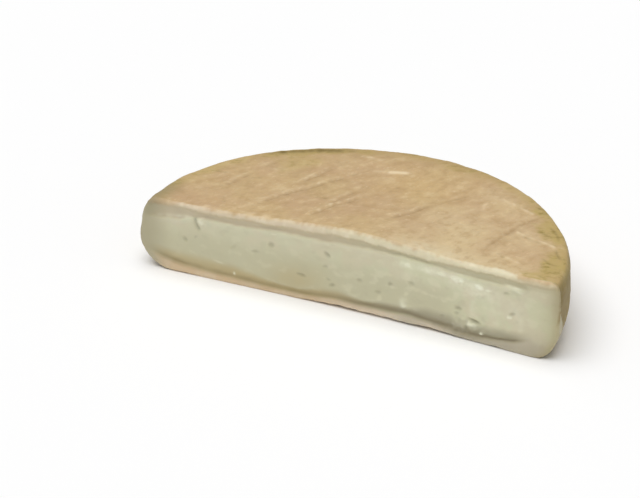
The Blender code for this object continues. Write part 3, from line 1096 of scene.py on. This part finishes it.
    def coats(self, skin: Skin) -> Coats:
        """Masks of the rind.

        Args:
            skin: The half wheel's surface.

        Returns:
            The masks by name.
        """
        top, below = skin.on_top, 1.0 - skin.level
        groove, crack = self.dark_marks(skin)
        edge_shade = lobes(skin.from_rim, self.edge_shade) * soft_step(*self.edge_start, skin.x)
        edge_shade *= 1.0 - changes(skin.x, self.edge_paler)
        ragged = skin.rough(self.ragged)
        olive = lobes(skin.from_rim, self.brink_stain) * (self.brink_evenness + ragged)
        for stain in STAINS:
            reach = 1.0 - soft_step(*self.stain_edge, stain.away(skin.plan) + ragged)
            olive = np.maximum(olive, stain.strength * reach)
        # The rim's side takes its colour with painted shade.
        side = (1.0 - top) * soft_step(*self.side_start, below)
        side_crack = side * lobes(skin.behind, self.side_crack) * (skin.across > 0.0)
        shoulder = np.maximum(top, 1.0 - soft_step(*self.shoulder_end, below)) * (1.0 - skin.on_cut)
        end = soft_step(*self.end_reach, skin.x) * (1.0 - soft_step(*self.end_stop, skin.behind))
        gold = GOLD_ZONE.cover(skin.plan) + skin.rough(self.gold_grain)
        fair = sum(zone.cover(skin.plan) for zone in FAIR_ZONES) + skin.rough(self.fair_grain)
        return {
            Coat.RACK_AND_BRINK_SHADE: np.maximum(groove, edge_shade) * top,
            Coat.RIDGE: self.light_marks(skin) * top,
            Coat.CRACK: np.maximum(crack * top, side_crack),
            Coat.OLIVE: np.clip(olive, 0.0, 1.0) * shoulder,
            Coat.SHADED_SIDE: side * (1.0 - skin.on_cut) * (1.0 - changes(skin.behind, self.side_paler)),
            Coat.FAIR: np.clip(fair, 0.0, 1.0) * top,
            Coat.GOLD: np.clip(gold, 0.0, 1.0) * top,
            Coat.END: end * (self.end_share + changes(skin.z, self.end_top)),
        }


# Finishes

def paint(red: float, green: float, blue: float) -> tuple[float, float, float, float]:
    """Turn a colour as a screen shows it, 0 to 255, into the light that a shader takes.

    Args:
        red: Its red.
        green: Its green.
        blue: Its blue.

    Returns:
        The colour in linear light, with full alpha.
    """
    shares = [value / 255.0 for value in (red, green, blue)]
    light = [s / 12.92 if s <= 0.04045 else ((s + 0.055) / 1.055) ** 2.4 for s in shares]
    return (*light, 1.0)


@dataclass(frozen=True)
class Spots:
    """A noise of a finish: its sizes, its turn about Z, and how fine and how rough it is."""

    sizes: Sizes
    turn: float = 0.0
    detail: float = 3.0
    roughness: float = 0.6


@dataclass(frozen=True)
class Wash:
    """A thin colour: its share, and the band of a noise or a mask over which it comes in."""

    colour: Colour
    share: float = 1.0
    band: Band | None = None


class Signal:
    """The value of one socket, which shader sums are written with."""

    def __init__(self, bench: "FinishBench", socket: bpy.types.NodeSocket | None) -> None:
        """Keep the socket and the bench that it stands on."""
        self.bench = bench
        self.socket = socket

    def _math(self, operation: str, first: "Signal | float", second: "Signal | float") -> "Signal":
        """Add one Math node."""
        return self.bench.add("ShaderNodeMath", {"operation": operation}, {0: first, 1: second})

    def __add__(self, other: "Signal | float") -> "Signal":
        """Sum."""
        return self._math("ADD", self, other)

    def __radd__(self, other: float) -> "Signal":
        """Sum, with the number first."""
        return self._math("ADD", other, self)

    def __sub__(self, other: "Signal | float") -> "Signal":
        """Difference."""
        return self._math("SUBTRACT", self, other)

    def __rsub__(self, other: float) -> "Signal":
        """Difference, with the number first."""
        return self._math("SUBTRACT", other, self)

    def __mul__(self, other: "Signal | float") -> "Signal":
        """Product."""
        return self._math("MULTIPLY", self, other)

    def __rmul__(self, other: float) -> "Signal":
        """Product, with the number first."""
        return self._math("MULTIPLY", other, self)


class FinishBench:
    """Where a material's nodes are put together."""

    def __init__(self, name: str) -> None:
        """Start a material with no nodes."""
        self.material = bpy.data.materials.new(name)
        self.material.use_nodes = True
        self.tree = self.material.node_tree
        self.tree.nodes.clear()

    @staticmethod
    def _socket(sockets: bpy.types.bpy_prop_collection, key: int | str) -> bpy.types.NodeSocket:
        """Find a socket by its number, or by its name among those in use."""
        if isinstance(key, int):
            return sockets[key]
        return next(socket for socket in sockets if socket.name == key and socket.enabled)

    def add(self, kind: str, settings: dict | None = None, sockets: dict | None = None,
            output: int | str = 0) -> Signal:
        """Add a node.

        Args:
            kind: The node's type.
            settings: Its settings, which are set first.
            sockets: Values or signals for its inputs, by name or number.
            output: The output that is handed back.

        Returns:
            That output's signal, which is empty for a node without outputs.
        """
        node = self.tree.nodes.new(kind)
        for name, value in (settings or {}).items():
            setattr(node, name, value)
        for key, value in (sockets or {}).items():
            socket = self._socket(node.inputs, key)
            if isinstance(value, Signal):
                self.tree.links.new(value.socket, socket)
            else:
                socket.default_value = value
        return Signal(self, self._socket(node.outputs, output) if node.outputs else None)

    def coat(self, coat: Coat) -> Signal:
        """Read one of the shape's masks."""
        settings = {"attribute_name": coat.value, "attribute_type": "GEOMETRY"}
        return self.add("ShaderNodeAttribute", settings, output="Fac")

    def millimetres(self) -> Signal:
        """The place on the object, in millimetres."""
        place = self.add("ShaderNodeTexCoord", output="Object")
        return self.add("ShaderNodeVectorMath", {"operation": "SCALE"}, {0: place, "Scale": 1.0 / MM})

    def spots(self, place: Signal, spots: Spots) -> Signal:
        """Noise from 0 to 1 that is drawn out along its turn.

        Args:
            place: The place in millimetres.
            spots: How the noise looks.

        Returns:
            The noise.
        """
        sockets = {"Vector": place, "Rotation": (0.0, 0.0, math.radians(spots.turn)), "Scale": spots.sizes}
        drawn = self.add("ShaderNodeMapping", {"vector_type": "TEXTURE"}, sockets)
        sockets = {"Vector": drawn, "Scale": 1.0, "Detail": spots.detail, "Roughness": spots.roughness}
        return self.add("ShaderNodeTexNoise", {"noise_dimensions": "3D"}, sockets)

    def step(self, value: Signal, band: Band) -> Signal:
        """Ease a value from 0 at the band's start to 1 at its end."""
        sockets = {"Value": value, "From Min": band[0], "From Max": band[1]}
        return self.add("ShaderNodeMapRange", {"interpolation_type": "SMOOTHSTEP"}, sockets)

    def along(self, place: Signal, axis: str) -> Signal:
        """One of a place's three numbers."""
        return self.add("ShaderNodeSeparateXYZ", None, {0: place}, axis)

    def mix(self, share: Signal | float, first: Signal | Colour, second: Signal | Colour) -> Signal:
        """Mix two colours.

        Args:
            share: How much of the second shows.
            first: The colour under it.
            second: The colour over it.

        Returns:
            The mixed colour.
        """
        first, second = (paint(*side) if isinstance(side, tuple) else side for side in (first, second))
        settings = {"data_type": "RGBA", "clamp_factor": True}
        return self.add("ShaderNodeMix", settings, {"Factor": share, "A": first, "B": second}, "Result")

    def wash(self, wash: Wash, source: Coat | Signal, thinned: Signal | float = 1.0) -> tuple[Signal, Colour]:
        """Make a layer of a wash.

        Args:
            wash: The wash.
            source: The mask or the noise that brings it in.
            thinned: What else thins it out.

        Returns:
            How much of it shows, and its colour.
        """
        shown = self.coat(source) if isinstance(source, Coat) else source
        if wash.band:
            shown = self.step(shown, wash.band)
        return wash.share * thinned * shown, wash.colour

    def layers(self, colour: Signal, *layers: tuple[Signal, Signal | Colour]) -> Signal:
        """Lay colours over a colour, one after another, each by its own share.

        Args:
            colour: The colour under them all.
            layers: The share and the colour of each layer.

        Returns:
            The colour that shows.
        """
        for share, over in layers:
            colour = self.mix(share, colour, over)
        return colour


@dataclass(frozen=True)
class RindFinish:
    """Dry, washed rind: tan with pink and yellow zones, streaks, ridges lit by painted highlight and olive
    edges.
    """

    tan: Colour = (199, 171, 125)
    pink: Colour = (194, 163, 123)
    tan_band: Band = (0.35, 0.65)
    gold: Wash = Wash((202, 172, 120), 0.8)
    fair: Wash = Wash((213, 191, 149), 0.85)
    streak: Wash = Wash((176, 145, 100), 0.45, (0.52, 0.32))
    pale: Wash = Wash((222, 198, 154), 0.40, (0.52, 0.70))
    chap: Wash = Wash((176, 145, 100), 0.30, (0.56, 0.74))
    fair_smoothness: float = 0.6
    fleck: Wash = Wash((230, 208, 168), 0.35, (0.62, 0.76))
    # The rim's side: a browner olive of its own, darkened by painted shade as a side turned from the overhead
    # light, and paler towards the foot.
    side: Colour = (139, 117, 52)
    side_foot: Colour = (176, 154, 100)
    side_band: Band = (18.0, 5.0)
    side_pale: Wash = Wash((166, 144, 88), 0.4, (0.45, 0.72))
    side_moss: Wash = Wash((144, 126, 54), 0.4, (0.50, 0.70))
    olive: Wash = Wash((184, 162, 96))
    olive_shares: Band = (0.335, 1.235)
    moss: Wash = Wash((144, 126, 54), 0.7, (0.50, 0.68))
    # Painted shade in and beside the rack's grooves and along the top's brink.
    groove: Wash = Wash((160, 130, 88), 0.7)
    # Painted highlight on the ridges, and the pale colour of the flecks and crumbs.
    ridge: Wash = Wash((230, 208, 168), 0.8)
    crack: Wash = Wash((130, 110, 58), 0.8)
    # Painted shade of the rind at the left end.
    end: Wash = Wash((146, 133, 97), 0.8)
    cream: Colour = (222, 206, 177)
    fresh: Colour = (225, 215, 182)
    fresh_band: Band = (-25.0, 15.0)
    curd: Wash = Wash((240, 230, 203), 0.40, (0.42, 0.68))
    clouds: Spots = Spots((26.0, 26.0, 26.0), roughness=0.55)
    mottle: Spots = Spots((6.5, 4.8, 5.0), 68.0)
    flecks: Spots = Spots((2.4, 1.2, 1.5), 60.0, 2.0, 0.5)
    chaps: Spots = Spots((4.6, 1.7, 2.5), 14.0)
    tufts: Spots = Spots((4.5, 2.4, 2.4), 20.0, roughness=0.65)
    curds: Spots = Spots((5.0, 5.0, 5.0))
    grain: Spots = Spots((0.9, 0.9, 0.9))
    streaks: Spots = Spots((6.0, 0.7, 3.0), 72.0, 2.0, 0.5)
    grain_height: float = 0.08
    streak_height: float = 0.04
    roughness: float = 0.62

    def colour(self, bench: FinishBench, place: Signal) -> Signal:
        """Colour of the rind.

        Args:
            bench: Where its nodes go.
            place: The place in millimetres.

        Returns:
            The colour.
        """
        mottle = bench.spots(place, self.mottle)
        chaps = bench.spots(place, self.chaps)
        top = bench.layers(
            bench.mix(bench.step(bench.spots(place, self.clouds), self.tan_band), self.pink, self.tan),
            bench.wash(self.gold, Coat.GOLD),
            bench.wash(self.fair, Coat.FAIR),
            bench.wash(self.streak, mottle),
            bench.wash(self.pale, mottle),
            bench.wash(self.chap, chaps, 1.0 - self.fair_smoothness * bench.coat(Coat.FAIR)),
            bench.wash(self.fleck, bench.spots(place, self.flecks)),
        )
        low = bench.step(bench.along(place, "Z"), self.side_band)
        rim = bench.layers(
            bench.mix(low, self.side, self.side_foot),
            bench.wash(self.side_pale, mottle),
            bench.wash(self.side_moss, chaps),
        )
        right = bench.step(bench.along(place, "X"), self.fresh_band)
        cream = bench.layers(
            bench.mix(right, self.cream, self.fresh),
            bench.wash(self.curd, bench.spots(place, self.curds)),
        )
        return bench.layers(
            top,
            (bench.coat(Coat.SHADED_SIDE) + bench.coat(Coat.RIM), rim),
            bench.wash(self.olive, Coat.OLIVE, blend(self.olive_shares, mottle)),
            bench.wash(self.moss, bench.spots(place, self.tufts), bench.coat(Coat.OLIVE)),
            bench.wash(self.groove, Coat.RACK_AND_BRINK_SHADE),
            bench.wash(self.ridge, Coat.RIDGE),
            bench.wash(self.crack, Coat.CRACK),
            bench.wash(self.end, Coat.END),
            (bench.coat(Coat.CREAM), cream),
        )

    def height(self, bench: FinishBench, place: Signal) -> Signal:
        """Height of the rind's finest grain, in millimetres."""
        grain = self.grain_height * bench.spots(place, self.grain)
        return grain + self.streak_height * bench.spots(place, self.streaks)


@dataclass(frozen=True)
class PasteFinish:
    """Soft, moist paste: grey-green cream, yellower low down and brownish in the hollow by painted shade, wet
    on its ledge.
    """

    paste: Colour = (214, 206, 175)
    green: Colour = (212, 208, 176)
    far_green: Colour = (212, 210, 175)
    green_band: Band = (0.40, 0.60)
    far_band: Band = (-25.0, 35.0)
    # Painted shade: darker and yellower paste low down, for the lower face that turns away from the overhead
    # light and takes warm light from below.
    low: Wash = Wash((202, 197, 164))
    butter: Wash = Wash((196, 184, 143))
    smear: Wash = Wash((224, 219, 188), band=(0.52, 0.70))
    smear_shares: Band = (0.25, 0.50)
    shade: Wash = Wash((190, 184, 152), band=(0.46, 0.30))
    shade_shares: Band = (0.22, 0.32)
    # The hollow under the lip: a mauve tone of its own, darkened by painted shade where the lip overhangs it.
    hollow: Colour = (207, 191, 160)
    far_hollow_shade: Colour = (202, 193, 158)
    # Painted shade on the wall over the foot's groove: yellow-tan on the left, greyer to the right.
    wall: Colour = (190, 171, 121)
    far_wall_shade: Colour = (160, 152, 126)
    shadow_share: float = 0.85
    foot: Colour = (223, 201, 168)
    foot_warm: Colour = (219, 193, 155)
    foot_band: Band = (0.42, 0.58)
    far_foot: Colour = (227, 211, 186)
    # Painted shade that greys and darkens the foot.
    foot_shade: Colour = (189, 180, 157)
    # Painted shade in the groove over the foot, olive-brown on the left and greyer to the right.
    groove: Colour = (158, 139, 96)
    far_groove_shade: Colour = (148, 136, 106)
    groove_share: float = 0.8
    # Painted highlight: near-white on the wet ledge, the wet patches, the raised streaks and the torn bumps.
    gleam: Wash = Wash((249, 248, 221))
    # Painted shade along the cut's right end, by the rim.
    edge: Wash = Wash((174, 160, 114))
    # Painted shade of the paste at the left end.
    end: Wash = Wash((174, 165, 132))
    # Painted shade in the eyes, the crease, the torn bumps and the shaded patches.
    eye: Wash = Wash((150, 144, 114), 0.7)
    clouds: Spots = Spots((11.0, 11.0, 11.0), roughness=0.55)
    smears: Spots = Spots((7.0, 5.0, 5.0), 0.0, 2.0, 0.5)
    grain: Spots = Spots((1.1, 1.1, 1.1))
    grain_height: float = 0.05
    roughness: float = 0.42

    def colour(self, bench: FinishBench, place: Signal) -> Signal:
        """Colour of the paste.

        Args:
            bench: Where its nodes go.
            place: The place in millimetres.

        Returns:
            The colour.
        """
        clouds = bench.spots(place, self.clouds)
        smears = bench.spots(place, self.smears)
        right = bench.step(bench.along(place, "X"), self.far_band)
        green = bench.mix(right, self.green, self.far_green)
        groove = bench.mix(right, self.groove, self.far_groove_shade)
        foot = bench.layers(
            bench.mix(bench.step(clouds, self.foot_band), self.foot_warm, self.foot),
            (right, self.far_foot),
            (bench.coat(Coat.FOOT_SHADE), self.foot_shade),
        )
        return bench.layers(
            bench.mix(bench.step(clouds, self.green_band), self.paste, green),
            bench.wash(self.low, Coat.LOW_SHADE),
            bench.wash(self.butter, Coat.BUTTER),
            bench.wash(self.smear, smears, blend(self.smear_shares, right)),
            bench.wash(self.shade, smears, blend(self.shade_shares, right)),
            (self.shadow_share * bench.coat(Coat.HOLLOW_SHADE), bench.mix(right, self.hollow, self.far_hollow_shade)),
            (self.shadow_share * bench.coat(Coat.WALL_SHADE), bench.mix(right, self.wall, self.far_wall_shade)),
            (bench.coat(Coat.FOOT), foot),
            (self.groove_share * bench.coat(Coat.FOOT_GROOVE_SHADE), groove),
            bench.wash(self.gleam, Coat.GLEAM),
            bench.wash(self.edge, Coat.RIGHT_EDGE_SHADE),
            bench.wash(self.end, Coat.END),
            bench.wash(self.eye, Coat.MARK_SHADE),
        )

    def height(self, bench: FinishBench, place: Signal) -> Signal:
        """Height of the paste's finest grain, in millimetres."""
        return self.grain_height * bench.spots(place, self.grain)


@dataclass(frozen=True)
class CheeseFinish:
    """The whole surface: rind and paste, joined by the paste's mask."""

    rind: RindFinish = RindFinish()
    paste: PasteFinish = PasteFinish()
    dull_spots: Spots = Spots((3.0, 3.0, 3.0), 0.0, 2.0, 0.5)
    dull_share: float = 0.12
    wet_roughness: float = 0.22
    paste_coat: float = 0.15
    wet_coat: float = 0.5
    coat_roughness: float = 0.18
    scatter: float = 0.12
    scatter_reach: Colour = (1.0, 0.75, 0.45)
    scatter_scale: float = 2.0

    def material(self) -> bpy.types.Material:
        """Put the material together.

        Returns:
            The finished material.
        """
        bench = FinishBench("washed rind and paste")
        place = bench.millimetres()
        paste = bench.coat(Coat.PASTE)
        gleam = bench.coat(Coat.GLEAM)
        rough = blend((self.rind.roughness, self.paste.roughness), paste)
        rough = rough + self.dull_share * (bench.spots(place, self.dull_spots) - 0.5)
        rind_height = self.rind.height(bench, place)
        height = rind_height + paste * (self.paste.height(bench, place) - rind_height)
        shader = bench.add("ShaderNodeBsdfPrincipled", None, {
            "Base Color": bench.mix(paste, self.rind.colour(bench, place), self.paste.colour(bench, place)),
            "Roughness": rough - gleam * (self.paste.roughness - self.wet_roughness),
            "Coat Weight": self.paste_coat * paste + self.wet_coat * gleam,
            "Coat Roughness": self.coat_roughness,
            "Subsurface Weight": self.scatter,
            "Subsurface Radius": self.scatter_reach,
            "Subsurface Scale": self.scatter_scale * MM,
            "Normal": bench.add("ShaderNodeBump", None, {"Strength": 1.0, "Distance": MM, "Height": height}),
        })
        bench.add("ShaderNodeOutputMaterial", None, {"Surface": shader})
        return bench.material


# The pieces

@dataclass(frozen=True)
class HalfWheel:
    """The half wheel as one closed mesh with its finish."""

    grid: BoxGrid = BoxGrid()
    body: WheelBody = WheelBody()
    cut: CutFace = CutFace()
    rind: Rind = Rind()
    finish: CheeseFinish = CheeseFinish()
    foot_inset: float = 2.4
    still_foot: Band = (0.0, 2.0)
    seed: int = 7

    def skin(self, codes: np.ndarray) -> Skin:
        """Work out where the surface lies.

        Args:
            codes: The grid's points.

        Returns:
            The surface, in the wheel's frame.
        """
        body = self.body
        across, back, level = self.grid.shares(codes)
        reach, angle = body.disc(across, back)
        radius = reach * body.rim_radius(angle, level)
        x, y = radius * np.cos(angle), radius * np.sin(angle)
        top = body.top_height(x, y)
        places = np.column_stack((x, y, level * top))
        skin = Skin(
            noise=GradientNoise(self.seed), across=across, level=level, places=places,
            below_top=(1.0 - level) * top, behind=y, from_rim=body.radius * (1.0 - reach),
            on_cut=(back == 0.0) * 1.0, on_top=(level == 1.0) * 1.0,
        )
        edge = np.minimum(body.radius * (1.0 - np.abs(across)) / body.rim_corner, 1.0)
        corner = body.edge_corner * (1.0 + lobes(x, body.worn_edge))
        turn = body.corner_depth * quarter_round(1.0 - np.minimum(edge, skin.below_top / corner))
        foot = body.foot_depth * quarter_round(1.0 - skin.z / body.foot_corner)
        shift = np.maximum(turn, foot) + body.cut_bow * (1.0 - across**2) + self.cut.depth(skin)
        lift = np.maximum(FOOT_LINE.height(skin), 0.0)
        lift *= np.clip(1.0 - skin.z / body.lift_height, 0.0, 1.0) ** 2
        skin.places[:, 1] += shift * np.clip(1.0 - y / body.bow_reach, 0.0, 1.0) ** 2
        skin.places[:, 2] += lift * np.clip(1.0 - y / body.lift_reach, 0.0, 1.0)
        skin.behind = skin.places[:, 1] - shift
        return skin

    def faces(self, codes: np.ndarray) -> list[list[int]]:
        """List the faces of the box's five sides, and of the foot's strip and flat.

        Args:
            codes: The grid's points, in rising order.

        Returns:
            The corners of every face, as numbers of points.
        """
        quads = []
        for face in Face:
            patch = np.searchsorted(codes, self.grid.patch(face))
            corners = (patch[:-1, :-1], patch[1:, :-1], patch[1:, 1:], patch[:-1, 1:])
            quads.append(np.stack(corners, axis=-1).reshape(-1, 4))
        outer = np.searchsorted(codes, self.grid.foot_loop())
        inner = len(codes) + np.arange(len(outer))
        strip = (outer, np.roll(outer, -1), np.roll(inner, -1), inner)
        quads.append(np.stack(strip, axis=-1))
        return [*np.concatenate(quads).tolist(), inner.tolist()]

    def foot_ring(self, outer: np.ndarray) -> np.ndarray:
        """Set the ring of points just inside the underside's edge.

        Args:
            outer: The edge's points.

        Returns:
            The ring's points, flat on the ground.
        """
        middle = np.array((0.0, self.body.radius / 2, 0.0))
        away = (outer - middle) * (1.0, 1.0, 0.0)
        length = np.linalg.norm(away, axis=1, keepdims=True)
        return middle + away * (1.0 - self.foot_inset / length)

    def build(self) -> bpy.types.Object:
        """Build, shape and dress the half wheel.

        Returns:
            The finished piece.
        """
        codes = np.unique(np.concatenate([self.grid.patch(face).ravel() for face in Face]))
        skin = self.skin(codes)
        loop = np.searchsorted(codes, self.grid.foot_loop())
        places = np.vstack((skin.places, self.foot_ring(skin.places[loop])))
        mesh = bpy.data.meshes.new(NODE + "_cheese")
        mesh.from_pydata((places + self.shift(places)) * MM, [], self.faces(codes))
        mesh.shade_smooth()
        piece = bpy.data.objects.new("cheese", mesh)
        bpy.context.collection.objects.link(piece)

        self.carve(mesh, skin)
        self.lay_coats(mesh, skin, loop)
        mesh.materials.append(self.finish.material())
        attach(piece, BODY)
        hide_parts(NODE)
        return piece

    def shift(self, places: np.ndarray) -> np.ndarray:
        """Find the way from the wheel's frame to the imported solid's.

        Args:
            places: The half wheel's points.

        Returns:
            The shift in millimetres.
        """
        low, high = (np.array(corner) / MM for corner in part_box(NODE))
        return np.array((*(high[:2] - places[:, :2].max(axis=0)), low[2]))

    def carve(self, mesh: bpy.types.Mesh, skin: Skin) -> None:
        """Move the surface in and out for its fine forms.

        Args:
            mesh: The half wheel's mesh.
            skin: Its surface.
        """
        rise = (1.0 - self.cut.coats(skin)[Coat.PASTE]) * self.rind.rise(skin)
        rise -= skin.on_cut * self.cut.fine_depth(skin)
        rise *= soft_step(*self.still_foot, skin.z)
        normals, points = np.empty((2, len(mesh.vertices), 3), np.float32)
        mesh.vertices.foreach_get("normal", normals.reshape(-1))
        mesh.vertices.foreach_get("co", points.reshape(-1))
        points[:len(rise)] += normals[:len(rise)] * rise[:, None] * MM
        points[:, 2] = np.maximum(points[:, 2], 0.0)
        mesh.vertices.foreach_set("co", points.reshape(-1))
        mesh.update()

    def lay_coats(self, mesh: bpy.types.Mesh, skin: Skin, loop: np.ndarray) -> None:
        """Write the masks to the mesh.

        Args:
            mesh: The half wheel's mesh.
            skin: Its surface.
            loop: The points round the underside, which its ring copies.
        """
        for coat, values in {**self.cut.coats(skin), **self.rind.coats(skin)}.items():
            layer = mesh.attributes.new(coat.value, "FLOAT", "POINT")
            layer.data.foreach_set("value", np.concatenate((values, values[loop])).astype(np.float32))


@dataclass(frozen=True)
class Studio:
    """A pale floor, a broad soft light from above and a little in front, and fill from all round."""

    floor_size: float = 6000.0
    floor_shade: float = 0.96
    light_power: float = 2.35
    light_turn: tuple[float, float, float] = (9.0, -7.0, 0.0)
    light_spread: float = 60.0
    fill: float = 0.30

    def floor(self) -> bpy.types.Object:
        """Lay the floor and give it its finish."""
        half = self.floor_size * MM / 2
        corners = [(-half, -half, 0), (half, -half, 0), (half, half, 0), (-half, half, 0)]
        mesh = bpy.data.meshes.new("floor")
        mesh.from_pydata(corners, [], [(0, 1, 2, 3)])
        bench = FinishBench("floor")
        shade = (self.floor_shade, self.floor_shade, self.floor_shade, 1.0)
        shader = bench.add("ShaderNodeBsdfDiffuse", None, {"Color": shade})
        bench.add("ShaderNodeOutputMaterial", None, {"Surface": shader})
        mesh.materials.append(bench.material)
        floor = bpy.data.objects.new("floor", mesh)
        bpy.context.collection.objects.link(floor)
        return floor

    def light(self) -> None:
        """Hang the broad light and set the fill."""
        lamp = bpy.data.lights.new("overhead", "SUN")
        lamp.energy = self.light_power
        lamp.angle = math.radians(self.light_spread)
        hung = bpy.data.objects.new("overhead", lamp)
        hung.rotation_euler = [math.radians(turn) for turn in self.light_turn]
        bpy.context.collection.objects.link(hung)
        world = bpy.data.worlds.new("fill")
        world.use_nodes = True
        world.node_tree.nodes["Background"].inputs["Color"].default_value = (1.0, 1.0, 1.0, 1.0)
        world.node_tree.nodes["Background"].inputs["Strength"].default_value = self.fill
        bpy.context.scene.world = world
        bpy.context.scene.view_settings.view_transform = "Standard"


@dataclass(frozen=True)
class CameraView:
    """The photographer's place, round a middle near the cut, and where the lens points."""

    middle: tuple[float, float, float] = (0.0, -7.0, 12.0)
    turn: float = 23.095
    rise: float = 27.628
    roll: float = 0.699
    distance: float = 876.6
    aim_left: float = 25.085
    aim_down: float = 2.274
    lens: float = 114.305
    sensor: float = 36.0
    sight: float = 20.0

    def place(self) -> bpy.types.Object:
        """Set the camera up.

        Returns:
            The camera, which the scene renders through.
        """
        turn, rise, roll = (math.radians(angle) for angle in (self.turn, self.rise, self.roll))
        back = Vector((math.sin(turn) * math.cos(rise), -math.cos(turn) * math.cos(rise), math.sin(rise)))
        right = Vector((math.cos(turn), math.sin(turn), 0.0))
        stand = Vector(self.middle) + self.distance * back
        aim = Vector(self.middle) - self.aim_left * right - self.aim_down * back.cross(right)
        ahead = (aim - stand).normalized()
        level = ahead.cross(Vector((0.0, 0.0, 1.0))).normalized()
        up = level.cross(ahead)
        rolled = math.cos(roll) * level + math.sin(roll) * up
        upright = math.cos(roll) * up - math.sin(roll) * level
        data = bpy.data.cameras.new("camera")
        data.lens = self.lens
        data.sensor_width = self.sensor
        data.sensor_fit = "HORIZONTAL"
        data.clip_end = self.sight
        camera = bpy.data.objects.new("camera", data)
        turned = Matrix((rolled, upright, -ahead)).transposed().to_4x4()
        camera.matrix_world = Matrix.Translation(stand * MM) @ turned
        bpy.context.collection.objects.link(camera)
        bpy.context.scene.camera = camera
        return camera


def main() -> None:
    """Set the studio up, then build and dress the half wheel."""
    logging.basicConfig(level=logging.INFO, format="%(message)s")
    studio = Studio()
    studio.light()
    floor = studio.floor()
    REPORT.info("floor: %d face", len(floor.data.polygons))
    camera = CameraView().place()
    REPORT.info("camera: %.0f mm lens", camera.data.lens)
    cheese = HalfWheel().build()
    REPORT.info("%s: %d points, %d faces", cheese.name, len(cheese.data.vertices), len(cheese.data.polygons))


if __name__ == "__main__":
    main()
